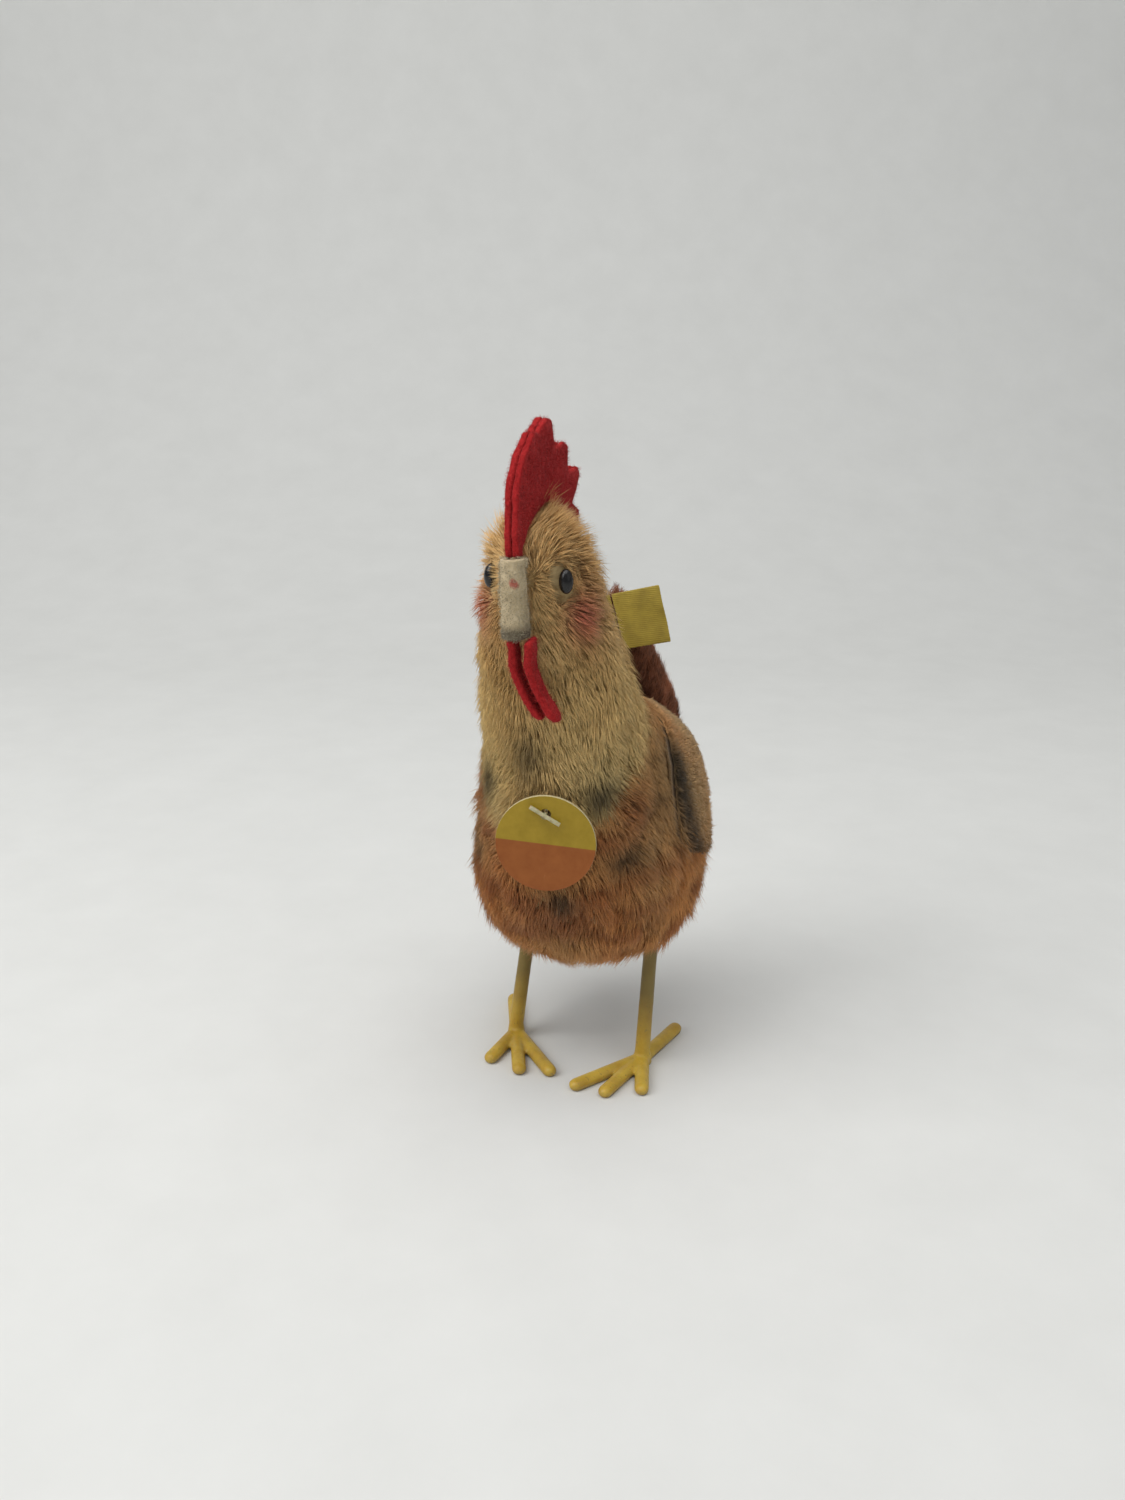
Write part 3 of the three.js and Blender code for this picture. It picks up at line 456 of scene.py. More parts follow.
def hull_of(node_names):
    """The convex hull of CAD nodes, as a mesh."""
    mesh = joined("hull", node_names)
    work = bmesh.new()
    work.from_mesh(mesh)
    result = bmesh.ops.convex_hull(work, input=work.verts)
    loose = [g for g in result["geom_interior"] if isinstance(g, bmesh.types.BMVert)]
    bmesh.ops.delete(work, geom=loose, context="VERTS")
    outer = {g for g in result["geom"] if isinstance(g, bmesh.types.BMFace)}
    inner = [face for face in work.faces if face not in outer]
    bmesh.ops.delete(work, geom=inner, context="FACES_ONLY")
    work.to_mesh(mesh)
    work.free()
    return mesh


def box_of(node_name):
    """A CAD node's lowest and highest corner."""
    return [np.array(corner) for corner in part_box(node_name)]


def ripple(rng, wavelength, terms=12):
    """A smooth random field of about unit size, as a function of points in metres."""
    waves = rng.normal(size=(terms, 3)) * (2 * math.pi / wavelength / math.sqrt(3))
    phases = rng.uniform(0, 2 * math.pi, terms)
    return lambda points: np.sin(points @ waves.T + phases).sum(axis=1) / math.sqrt(terms / 2)


def unit(vectors):
    return vectors / np.maximum(np.linalg.norm(vectors, axis=1, keepdims=True), 1e-12)


# ---- the stuffed form ----
RINGS = 84
SIDES = 88
CAST = 0.2  # rays start this far out
OFF_SEAM = 0.8 * MM  # rays pass this far beside the joint between left and right
FORM_SMOOTHINGS = 5
low_body, high_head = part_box("belly_plush")[0][2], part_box("neck_plush_left")[1][2]


def outer_form():
    """Rings of points on the outside of the plush, from the belly to the crown."""
    work = bmesh.new()
    for name in ("neck_plush_left", "neck_plush_right", "body_plush_left", "body_plush_right"):
        work.from_mesh(nodes[name].data)
    work.from_mesh(hull_of(["belly_plush"]))
    tree = BVHTree.FromBMesh(work)
    by_height = sorted((v.co.z, v.co.y) for v in work.verts)
    poles = (by_height[0][1], by_height[-1][1])
    work.free()
    middle, half = (low_body + high_head) / 2, (high_head - low_body) / 2
    rings = np.zeros((RINGS, SIDES, 3))
    for ring in range(RINGS):
        height = middle - half * math.cos(math.pi * (ring + 0.9) / (RINGS + 0.8))
        front = tree.ray_cast(Vector((OFF_SEAM, -CAST, height)), Vector((0, 1, 0)))[0]
        rear = tree.ray_cast(Vector((OFF_SEAM, CAST, height)), Vector((0, -1, 0)))[0]
        depth = (front.y + rear.y) / 2 if front and rear else poles[height > middle]
        centre = Vector((0, depth, height))
        for side in range(SIDES):
            angle = 2 * math.pi * (side + 0.5) / SIDES
            way = Vector((math.sin(angle), -math.cos(angle), 0))
            hit = tree.ray_cast(centre + way * CAST, -way)[0]
            rings[ring, side] = hit if hit else centre + way * 0.5 * MM
    for _ in range(FORM_SMOOTHINGS):
        around = (np.roll(rings, 1, axis=1) + np.roll(rings, -1, axis=1)) / 2
        along = rings.copy()
        along[1:-1] = (rings[2:] + rings[:-2]) / 2
        rings = rings * 0.5 + (around + along) * 0.25
    return rings


def ring_mesh(name, rings):
    """A closed mesh through rings of points, with a point in the middle of each end."""
    count, sides = rings.shape[:2]
    points = [*rings.reshape(-1, 3), rings[0].mean(axis=0), rings[-1].mean(axis=0)]
    bottom, top = count * sides, count * sides + 1
    faces = []
    for side in range(sides):
        after = (side + 1) % sides
        faces.append((bottom, after, side))
        faces.append((top, (count - 1) * sides + side, (count - 1) * sides + after))
        for ring in range(count - 1):
            here, above = ring * sides, (ring + 1) * sides
            faces.append((here + side, here + after, above + after, above + side))
    mesh = bpy.data.meshes.new(name)
    mesh.from_pydata([tuple(p) for p in points], [], faces)
    mesh.update()
    return mesh


def moved_in(mesh, depth):
    """Shrinks a mesh along its normals."""
    set_coordinates(mesh, coordinates(mesh) - vertex_normals(mesh) * depth)


PILE_DEPTH = 1.9 * MM  # how far the woven ground lies under the mean tip of the pile
SWELL_CAP = 0.9 * MM  # the most that the stuffing presses the cover out
SWELL_SCALE = 10.0  # cloth settles better at the size of furniture than at a toy's
SWELL_FRAMES = 20
SEAM_REACH = 1.2 * MM  # how far a seam between panels holds the cover in
MIDDLE_SEAM_REACH = 1.3 * MM


def swollen(piece, held):
    """Lets the stuffing press the cover out between its seams. held is the hold of each vertex, 0 to 1."""
    start = coordinates(piece.data)
    set_coordinates(piece.data, start * SWELL_SCALE)
    group = piece.vertex_groups.new(name="seams")
    for index, weight in enumerate(held):
        if weight > 0.01:
            group.add([index], float(weight), "REPLACE")
    cloth = piece.modifiers.new("cloth", "CLOTH")
    settings = cloth.settings
    settings.quality = 5
    settings.mass = 0.3
    settings.vertex_group_mass = "seams"
    settings.use_pressure = True
    settings.uniform_pressure_force = 4.0
    settings.effector_weights.gravity = 0.0
    settings.tension_stiffness = 12
    settings.compression_stiffness = 12
    settings.bending_stiffness = 0.6
    cloth.point_cache.frame_start = 1
    cloth.point_cache.frame_end = SWELL_FRAMES
    for moment in range(1, SWELL_FRAMES + 1):
        scene.frame_set(moment)
        bpy.context.evaluated_depsgraph_get()
    applied(piece)
    piece.vertex_groups.clear()
    shift = coordinates(piece.data) / SWELL_SCALE - start
    length = np.linalg.norm(shift, axis=1, keepdims=True)
    capped = shift * np.minimum(1.0, SWELL_CAP / np.maximum(length, 1e-9))
    set_coordinates(piece.data, start + capped)
    scene.frame_set(1)


form = outer_form()
stuffed_body = new_piece("stuffed_body", ring_mesh("stuffed_body", form), woven_ground)
moved_in(stuffed_body.data, PILE_DEPTH + 0.5 * SWELL_CAP)

NECK, BODY, BELLY = range(3)
panel_trees = [
    tree_of(joined("neck", ["neck_plush_left", "neck_plush_right"])),
    tree_of(joined("body", ["body_plush_left", "body_plush_right"])),
    tree_of(joined("belly", ["belly_plush"])),
]


def panel_distances(points):
    """How far each point is from the neck's, the body's and the belly's panels."""
    distances = np.empty((len(points), len(panel_trees)))
    for i, point in enumerate(points):
        where = Vector(point)
        for j, tree in enumerate(panel_trees):
            distances[i, j] = tree.find_nearest(where)[3]
    return distances


cover_points = coordinates(stuffed_body.data)
cover_panels = panel_distances(cover_points)
nearest_two = np.sort(cover_panels, axis=1)
at_panel_seam = np.exp(-(((nearest_two[:, 1] - nearest_two[:, 0]) / SEAM_REACH) ** 2))
at_middle_seam = np.exp(-((cover_points[:, 0] / MIDDLE_SEAM_REACH) ** 2))
swollen(stuffed_body, np.clip(np.maximum(at_panel_seam, at_middle_seam), 0, 1))


# ---- colours of the pile ----
CREAM = np.array((0.80, 0.56, 0.235))
ORANGE = np.array((0.69, 0.310, 0.100))
TAN = np.array((0.60, 0.345, 0.140))
BROWN = np.array((0.19, 0.066, 0.029))
SMUDGE = np.array((0.040, 0.033, 0.022))
BLUSH = np.array((0.52, 0.095, 0.080))
ROUGE = np.array((0.32, 0.085, 0.030))
OLIVE_SHADE = np.array((0.21, 0.155, 0.070))
# painted shade: the woven ground under the pile is painted darker than its pile by these factors
BODY_GROUND_SHADE = 0.7  # how dark the woven ground is beside its pile
TRIM_GROUND_SHADE = 0.75  # the same on the tail and the wings
MARK_FALLOFF = 0.8  # how quickly a mark fades from its centre

# Heights in metres between which one look of the pile gives way to the next.
WARMTH = (66 * MM, 46 * MM)  # orange below, tan above
# painted shade: below these heights the cape is painted darker, as the lower cape lies in shade
SHADED_BIB = (82 * MM, 66 * MM)
FACE = (92 * MM, 112 * MM)
FACE_FLOW = (96 * MM, 112 * MM)
HEAD = (100 * MM, 114 * MM)
CROWN = (112 * MM, 121 * MM)
UNDERSIDE = (36 * MM, 27 * MM)
FLANK = (14 * MM, 22 * MM)  # out from the middle
CAPE_HANG = (-3.6 * MM, -1.0 * MM)  # past its seam, where the last and the first of the cape's pile hangs


def on_both_sides(marks):
    """The marks on the hen's left and their mirror images on its right."""
    return [((sign * x, y, z), reach, strength)
            for _, sign in HANDS for (x, y, z), reach, strength in marks]


# Airbrushed marks, and painted shade in SHADED_MARKS: centre and reach in millimetres, then how strongly
# they cover.
CHEST_MARKS = [
    ((-1.2, -35, 80.5), (3.2, 9, 4.4), 0.62), ((-12.7, -29, 72.5), (2.6, 8, 4.2), 0.85),
    ((12.4, -29, 72.3), (3.0, 8, 3.4), 0.88), ((16.5, -25.5, 57.5), (2.9, 7, 2.3), 0.92),
    ((5.4, -33.6, 50), (2.8, 9, 2.5), 0.88), ((20, -16.5, 67.7), (1.6, 4, 1.6), 0.65),
    ((-17, -25, 56), (2.6, 7, 3.0), 0.8),
]
BACK_MARKS = on_both_sides([
    (centre, (3.2, 6, 3.4), 0.7) for centre in ((12, 31, 72), (14, 33, 50), (22, 18, 43))
])
CHEEK_MARKS = on_both_sides([((11, -34.5, 109.5), (2.8, 5, 5.0), 0.8)])
FLUSHED_MARKS = on_both_sides([
    ((17.5, -22.5, 67), (2.2, 5, 4), 0.65), ((13.5, -28.5, 62), (5, 6, 1.8), 0.65),
    ((11, -31, 51), (8, 8, 2.2), 0.6), ((18, -20, 45), (7, 9, 1.8), 0.55),
    ((3, -33, 43), (9, 8, 2.2), 0.4),
])
# painted shade: an olive shadow on each flank in front of the wing
SHADED_MARKS = on_both_sides([((19, -14, 73), (4.5, 5, 7), 0.22)])
STREAK_MARKS = on_both_sides([
    (centre, (3, 1.3, 3), 0.4) for centre in (
        (18.8, -9.5, 77), (21, -10.2, 72), (22.5, -10.6, 66.5), (23.5, -9.4, 61), (24.4, -7.2, 55))
])
WING_MARKS = on_both_sides([
    ((19, -5.6, 77.5), (4, 2.6, 2.4), 0.8), ((20.6, -5.9, 74), (4, 3.0, 2.6), 0.92),
    ((22, -6.2, 70.5), (4, 3.2, 2.8), 0.95), ((23, -6.4, 66.5), (4, 3.4, 2.8), 0.95),
    ((23.8, -5.4, 62), (4, 3.4, 2.8), 0.93), ((24.6, -3.6, 57), (4, 3.4, 2.8), 0.93),
    ((25, -1.6, 53), (4, 3.2, 2.2), 0.85), ((25.4, 2, 50.2), (4, 3.6, 1.8), 0.75),
    ((24, 12, 50), (5, 6, 2.0), 0.55), ((20, 26, 58), (6, 4, 3.0), 0.6),
])


def covered(colours, points, marks, paint):
    """Paints marks over colours, softly."""
    for centre, reach, strength in marks:
        away = (points / MM - np.array(centre)) / np.array(reach)
        cover = strength * np.exp(-np.square(away).sum(axis=1) * MARK_FALLOFF)
        colours += (paint - colours) * cover[:, None]
    return colours


def soft_step(values, low, high):
    """0 at low, 1 at high and a smooth change between them, also where high is the smaller."""
    t = np.clip((values - low) / (high - low), 0, 1)
    return t * t * (3 - 2 * t)


colour_rng = np.random.default_rng(11)
broad = ripple(colour_rng, 22 * MM)
patchy = ripple(colour_rng, 7 * MM)


def hen_colour(points, cream_share):
    """The colour of the hen's pile at points, where cream_share says how far each belongs to the cape.
    Painted shade darkens the lower cape and the flanks in front of the wings.
    """
    warm = soft_step(points[:, 2], *WARMTH)[:, None]
    body = TAN + (ORANGE - TAN) * np.clip(0.2 + 0.7 * warm + 0.3 * broad(points)[:, None], 0, 1)
    flushed = np.clip(0.4 * patchy(points * np.array((0.5, 0.5, 1.3))) + 0.12, 0, 0.6)[:, None] * warm
    body = body + (ROUGE - body) * flushed
    body = covered(body, points, FLUSHED_MARKS, ROUGE)
    # painted shade in front of the wings
    body = covered(body, points, SHADED_MARKS, OLIVE_SHADE)
    face = soft_step(points[:, 2], *FACE)[:, None]
    bib_shade = soft_step(points[:, 2], *SHADED_BIB)[:, None]
    # painted shade darkens the lower cape; the face's redder tone is its own colour
    cape = CREAM * (1 - 0.10 * face * np.array((0.2, 1.0, 1.0)) - 0.1 * bib_shade)
    cape = cape * (1 + 0.09 * broad(points)[:, None] * np.array((0.6, 1.0, 1.4)))
    colours = body + (cape - body) * cream_share[:, None]
    colours = covered(colours, points, CHEEK_MARKS, BLUSH)
    return covered(colours, points, CHEST_MARKS + STREAK_MARKS + BACK_MARKS, SMUDGE)


def cream_share_of(distances):
    """1 on the cape and where its pile hangs over the seam, 0 further off, mixed in between."""
    off_cape = np.minimum(distances[:, BODY], distances[:, BELLY])
    return soft_step(off_cape - distances[:, NECK], *CAPE_HANG)


def wing_colour(points):
    """The same tan as the body, a little faded, with a long dark streak at the front."""
    warm = 0.18 + 0.25 * broad(points)[:, None]
    faded = (TAN + (ORANGE - TAN) * warm) * np.array((1.12, 1.18, 1.3))
    return covered(faded, points, WING_MARKS, SMUDGE)


def tail_colour(points):
    """Dark brown, a little uneven."""
    return BROWN * (1.05 + 0.25 * patchy(points)[:, None])


def paint_vertices(mesh, colours):
    """Stores the colours under the name that the pile's materials look up."""
    layer = mesh.attributes.new("pile", "FLOAT_COLOR", "POINT")
    with_alpha = np.ones((len(colours), 4), dtype=np.float32)
    with_alpha[:, :3] = np.clip(colours, 0.002, 1)
    layer.data.foreach_set("color", with_alpha.ravel())


# ---- pile ----
def scattered(mesh, per_square_mm, rng):
    """Random points on a mesh, as (points, normals)."""
    mesh.calc_loop_triangles()
    corners = np.empty(len(mesh.loop_triangles) * 3, dtype=np.int32)
    mesh.loop_triangles.foreach_get("vertices", corners)
    corners = corners.reshape(-1, 3)
    points = coordinates(mesh)[corners]
    normals = vertex_normals(mesh)[corners]
    area = np.linalg.norm(np.cross(points[:, 1] - points[:, 0], points[:, 2] - points[:, 0]), axis=1) / 2
    count = int(area.sum() / MM ** 2 * per_square_mm)
    chosen = rng.choice(len(area), size=count, p=area / area.sum())
    u, v = rng.random(count), rng.random(count)
    over = u + v > 1
    u[over], v[over] = 1 - u[over], 1 - v[over]
    weights = np.stack((1 - u - v, u, v), axis=1)[:, :, None]
    return (points[chosen] * weights).sum(axis=1), unit((normals[chosen] * weights).sum(axis=1))


def tangent(directions, normals):
    """Directions laid flat on the surface."""
    return unit(directions - normals * (directions * normals).sum(axis=1, keepdims=True))


def clumped(roots, middles, tips, every, pull, rng):
    """Draws each strand's tip towards the tip of the nearest of a few leading strands."""
    leaders = rng.choice(len(roots), size=max(1, len(roots) // every), replace=False)
    finder = KDTree(len(leaders))
    for i, leader in enumerate(leaders):
        finder.insert(roots[leader], i)
    finder.balance()
    nearest = leaders[np.array([finder.find(root)[1] for root in roots])]
    share = (pull * rng.uniform(0.55, 1.1, len(roots)))[:, None]
    middles = middles + (middles[nearest] - middles) * share * 0.4
    tips = tips + (tips[nearest] - tips) * np.clip(share, 0, 0.95)
    return middles, tips


CORNERS = 7  # three at the root, three half way along, one at the tip


def strand_mesh(name, roots, middles, tips, radius, colours):
    """Closed, tapered, three-sided strands. colours holds a colour for each root, middle and tip."""
    count = len(roots)
    first, second = unit(middles - roots), unit(tips - middles)
    helper = np.where(np.abs(first[:, 2:3]) < 0.8, np.array((0.0, 0.0, 1.0)), np.array((1.0, 0.0, 0.0)))
    side = unit(np.cross(first, helper))
    up_first, up_second = np.cross(first, side), np.cross(second, side)
    points = np.empty((count, CORNERS, 3))
    for corner in range(3):
        angle = 2 * math.pi * corner / 3
        across, above = math.cos(angle), math.sin(angle)
        points[:, corner] = roots + (side * across + up_first * above) * radius
        points[:, 3 + corner] = middles + (side * across + up_second * above) * radius * 0.8
    points[:, 6] = tips
    faces = [(0, 2, 1), (0, 1, 4, 3), (1, 2, 5, 4), (2, 0, 3, 5), (3, 4, 6), (4, 5, 6), (5, 3, 6)]
    order = np.array([corner for face in faces for corner in face], dtype=np.int32)
    starts = np.cumsum([0] + [len(face) for face in faces[:-1]]).astype(np.int32)
    mesh = bpy.data.meshes.new(name)
    mesh.vertices.add(count * CORNERS)
    mesh.loops.add(count * len(order))
    mesh.polygons.add(count * len(faces))
    mesh.vertices.foreach_set("co", points.astype(np.float32).ravel())
    step = np.arange(count, dtype=np.int32)[:, None]
    mesh.loops.foreach_set("vertex_index", (order[None] + step * CORNERS).ravel())
    mesh.polygons.foreach_set("loop_start", (starts[None] + step * len(order)).ravel())
    mesh.update(calc_edges=True)
    spread = np.empty((count, CORNERS, 3))
    spread[:, 0:3] = colours[0][:, None]
    spread[:, 3:6] = colours[1][:, None]
    spread[:, 6] = colours[2]
    paint_vertices(mesh, spread.reshape(-1, 3))
    cells = int(math.ceil(math.sqrt(count)))
    column, row = step[:, 0] % cells, step[:, 0] // cells
    heights = np.array([0.1, 0.1, 0.1, 0.5, 0.5, 0.5, 0.9])
    breadths = np.array([0.1, 0.5, 0.9, 0.2, 0.5, 0.8, 0.5])
    uv = np.empty((count, len(order), 2))
    uv[:, :, 0] = (column[:, None] + breadths[order][None]) / cells
    uv[:, :, 1] = (row[:, None] + heights[order][None]) / cells
    layer = mesh.uv_layers.new(name="OFBake")
    layer.data.foreach_set("uv", uv.astype(np.float32).ravel())
    return mesh


def strands(roots, normals, flow, length, lift, droop, rng, every=9, pull=0.6, bed=0.25 * MM):
    """Roots, middles and tips of strands that leave the surface and lie over along the flow."""
    start = roots - normals * bed
    size = (length * rng.uniform(0.72, 1.15, len(roots)))[:, None]
    loose = rng.normal(scale=0.16, size=roots.shape)
    rise = unit(normals * lift[:, None] + flow * 0.55 + loose)
    lie = unit(normals * (lift * 0.38)[:, None] + flow + loose * 1.2 + np.array((0, 0, -1.0)) * droop)
    middles = start + rise * size * 0.45
    tips = middles + lie * size * 0.55
    middles, tips = clumped(start, middles, tips, every, pull, rng)
    return start, middles, tips


def shaded(colour_at, middles, rng):
    """Colours along strands, each its own shade: painted shade darkens them in the depth of the pile and
    painted light brightens the tips.
    """
    own = rng.normal(1.0, 0.07, len(middles))[:, None]
    dyed = colour_at(middles) * own
    # painted shade at the root, painted light at the tip
    return [dyed * 0.72, dyed * 0.95, dyed * 1.06]


DENSITY = 7.6  # strands on each square millimetre
THICKER = 1.1  # the tail and the wings have this many times as many
STRAND = 0.090 * MM  # radius at the root


def grown(name, body, slot, node_name, geometry, colours, keep=slice(None)):
    """The strands to keep, as one piece of pile that stands for a CAD node."""
    roots, middles, tips = (part[keep] for part in geometry)
    mesh = strand_mesh(name, roots, middles, tips, STRAND, [shade[keep] for shade in colours])
    piece = new_piece(name, mesh, mohair)
    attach(piece, body)
    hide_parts(node_name)


EYE_CLEARANCE = 0.3 * MM
BEAK_REACH = (14 * MM, 7 * MM)
beak_low, beak_high = box_of("beak")


def hen_flow(points, normals, rng):
    """Down the hen, swept back along its sides, away from the beak on its face, with swirls."""
    turn = ripple(rng, 16 * MM)(points)[:, None]
    fine = ripple(rng, 6 * MM)(points)[:, None]
    side = np.cross(normals, np.array((0.0, 0.0, 1.0)))
    way = np.tile(np.array((0.0, 0.28, -1.0)), (len(points), 1))
    from_beak = unit(points - np.array((0.0, beak_low[1], (beak_low[2] + beak_high[2]) / 2)))
    on_face = soft_step(points[:, 2], *FACE_FLOW)[:, None]
    way = way * (1 - 0.7 * on_face) + from_beak * on_face
    way = way + unit(side) * (0.34 * turn + 0.26 * fine)
    return tangent(way, normals)


def by_the_beak(roots):
    """1 at the beak, down to 0 some way off."""
    away = np.linalg.norm(roots - (beak_low + beak_high) / 2, axis=1)
    return soft_step(away, *BEAK_REACH)


def off_the_eyes(roots):
    """Which roots leave the eyes bare."""
    clear = np.ones(len(roots), dtype=bool)
    for side, _ in HANDS:
        low, high = box_of(f"eye_{side}")
        near = np.linalg.norm(roots - (low + high) / 2, axis=1) < np.linalg.norm(high - low)
        tree = tree_of(nodes[f"eye_{side}"].data)
        for i in np.flatnonzero(near):
            clear[i] = tree.find_nearest(Vector(roots[i]))[3] > EYE_CLEARANCE
    return clear


def dress_hen():
    """Grows the pile of the head, neck, body and belly on the stuffed form."""
    rng = np.random.default_rng(3)
    roots, normals = scattered(stuffed_body.data, DENSITY, rng)
    clear = off_the_eyes(roots)
    roots, normals = roots[clear], normals[clear]
    distances = panel_distances(roots)
    panel = distances.argmin(axis=1)
    on_head = soft_step(roots[:, 2], *HEAD)
    under = soft_step(roots[:, 2], *UNDERSIDE)
    crown = soft_step(roots[:, 2], *CROWN)
    flank = soft_step(np.abs(roots[:, 0]), *FLANK) * (1 - on_head)
    length = 4.7 - 0.3 * on_head - 1.0 * under + 1.5 * crown + 0.9 * flank
    length = length * (1 + 0.16 * ripple(rng, 5 * MM)(roots)) * MM
    length = length * (1 - 0.3 * by_the_beak(roots))
    lift = 0.66 + 0.30 * on_head + 0.35 * crown + 0.22 * flank + 0.18 * ripple(rng, 7 * MM)(roots)
    flow = hen_flow(roots, normals, rng)
    geometry = strands(roots, normals, flow, length, np.clip(lift, 0.35, 1.3), 0.16, rng,
                       every=6, pull=0.34)
    share = cream_share_of(distances)
    jitter = rng.normal(0, 0.06, len(roots))

    def colour_at(points):
        return hen_colour(points, np.clip(share + jitter, 0, 1))

    colours = shaded(colour_at, geometry[1], rng)
    left, front = roots[:, 0] > 0, roots[:, 1] < 0
    for name, number, slot in (("neck", NECK, "cream_mohair"), ("body", BODY, "orange_mohair")):
        for side, on_side in (("left", left), ("right", ~left)):
            for end, at_end in (("front", front), ("rear", ~front)):
                keep = (panel == number) & on_side & at_end
                if keep.any():
                    grown(f"{name}_pile_{side}_{end}", "hen", slot, f"{name}_plush_{side}",
                          geometry, colours, keep)
    grown("belly_pile", "hen", "orange_mohair", "belly_plush", geometry, colours, panel == BELLY)


ground_colours = hen_colour(coordinates(stuffed_body.data), cream_share_of(cover_panels)) * BODY_GROUND_SHADE
paint_vertices(stuffed_body.data, ground_colours)
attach(stuffed_body, "hen")
dress_hen()


# ---- tail ----
TAIL_PILE = 4.6 * MM
TAIL_INSET = 0.7 * MM  # how far the ground lies inside the hull of the CAD panels
BURIED = 0.2 * MM  # a root this deep in the body is left out


def outside_body(roots):
    """Which roots aren't buried in the stuffed form."""
    inside = tree_of(stuffed_body.data)
    free = np.empty(len(roots), dtype=bool)
    for i, root in enumerate(roots):
        where, normal, _, _ = inside.find_nearest(Vector(root))
        free[i] = (Vector(root) - where).dot(normal) > -BURIED
    return free


def dress_tail():
    """The stuffed tail and its pile, which runs up to the tip."""
    rng = np.random.default_rng(5)
    panels = hull_of(["tail_plush_left", "tail_plush_right"])
    piece = remeshed("stuffed_tail", panels, 0.9 * MM, 3, woven_ground)
    moved_in(piece.data, TAIL_INSET)
    paint_vertices(piece.data, tail_colour(coordinates(piece.data)) * TRIM_GROUND_SHADE)
    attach(piece, "hen")
    roots, normals = scattered(piece.data, DENSITY * THICKER, rng)
    free = outside_body(roots)
    roots, normals = roots[free], normals[free]
    low, high = box_of("tail_plush_left")
    above_tip = np.array((0.0, low[1] + 0.25 * (high[1] - low[1]), high[2] + 20 * MM))
    swirl = 0.22 * ripple(rng, 8 * MM)(roots)[:, None] * np.array((0, 1.0, 0.3))
    flow = tangent(unit(above_tip - roots) + np.array((0, 0.25, 0)) + swirl, normals)
    geometry = strands(roots, normals, flow, np.full(len(roots), TAIL_PILE),
                       np.full(len(roots), 0.55), 0.0, rng)
    colours = shaded(tail_colour, geometry[1], rng)
    left = roots[:, 0] > 0
    for side, keep in (("left", left), ("right", ~left)):
        grown(f"tail_pile_{side}", "hen", "brown_mohair", f"tail_plush_{side}", geometry, colours, keep)


dress_tail()


# ---- wings ----
WING_PILE = 2.8 * MM
WING_INSET = 0.4 * MM
WING_TUCK = 0.3 * MM  # how much closer to the body the ground lies than the CAD solid
WING_SEEDS = {"left": 7, "right": 8}


def dress_wing(side, sign):
    """One wing's cut of cloth, with pile on its outer face only."""
    rng = np.random.default_rng(WING_SEEDS[side])
    body = f"wing_{side}"
    cut = joined(f"wing_ground_{side}", [f"wing_plush_{side}"])
    ground = remeshed(f"wing_ground_{side}", cut, 0.45 * MM, 10, woven_ground)
    moved_in(ground.data, WING_INSET)
    ground.data.transform(Matrix.Translation((-sign * WING_TUCK, 0, 0)))
    paint_vertices(ground.data, wing_colour(coordinates(ground.data)) * TRIM_GROUND_SHADE)
    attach(ground, body)
    roots, normals = scattered(ground.data, DENSITY * THICKER, rng)
    outward = normals[:, 0] * sign > -0.15
    roots, normals = roots[outward], normals[outward]
    swirl = 0.22 * ripple(rng, 12 * MM)(roots)[:, None] * np.array((0, 0.4, 1.0))
    flow = tangent(np.array((0.0, 0.85, -0.5)) + swirl, normals)
    geometry = strands(roots, normals, flow, np.full(len(roots), WING_PILE),
                       np.full(len(roots), 0.38), 0.1, rng, every=10, pull=0.5, bed=0.15 * MM)
    colours = shaded(wing_colour, geometry[1], rng)
    grown(f"wing_pile_{side}", body, "orange_mohair", f"wing_plush_{side}", geometry, colours)


for hand, hand_sign in HANDS:
    dress_wing(hand, hand_sign)


# ---- felt ----
FELT_UNEVEN = 0.035 * MM
FIBRE_LENGTH = 0.9 * MM
FIBRE_RADIUS = 0.028 * MM
RED_FIBRE = (0.46, 0.030, 0.030)
CREAM_FIBRE = (0.50, 0.44, 0.31)
FLECK = (1.2 * MM, 4.2 * MM)  # a red fleck on the beak: to the left, and down from its top


def felted(name, node_name, body, material, fuzz_colour, voxel=0.3 * MM, bend=None, fuzz=9.0,
           plump=0.04 * MM):
    """A felt copy of a CAD node: soft edges, an uneven face and loose fibres standing from it."""
    rng = np.random.default_rng(sum(map(ord, name)))
    piece = remeshed(name, joined(name, [node_name]), voxel, 3, material)
    points = coordinates(piece.data)
    uneven = (ripple(rng, 2.2 * MM, 40)(points) + ripple(rng, 8 * MM, 24)(points)) * FELT_UNEVEN
    points = points + vertex_normals(piece.data) * (uneven[:, None] + plump)
    set_coordinates(piece.data, bend(points) if bend else points)
    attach(piece, body)
    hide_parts(node_name)
    roots, normals = scattered(piece.data, fuzz * (1), rng)
    flow = unit(rng.normal(size=roots.shape))
    geometry = strands(roots, normals, flow, np.full(len(roots), FIBRE_LENGTH),
                       np.full(len(roots), 0.7), 0.0, rng, every=3, pull=0.2, bed=0.05 * MM)
    shade = rng.normal(1.0, 0.16, len(roots))[:, None]
    # painted shade at each fibre's root and painted light at its tip
    colours = [np.array(fuzz_colour) * shade * depth for depth in (0.7, 0.95, 1.15)]
    fibres = strand_mesh(f"{name}_fibres", *geometry, FIBRE_RADIUS, colours)
    loose = new_piece(f"{name}_fibres", fibres, wool_fibre)
    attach(loose, body)
    return piece


comb_low, comb_high = box_of("comb_felt_left")
comb_wave = ripple(np.random.default_rng(20), 26 * MM)


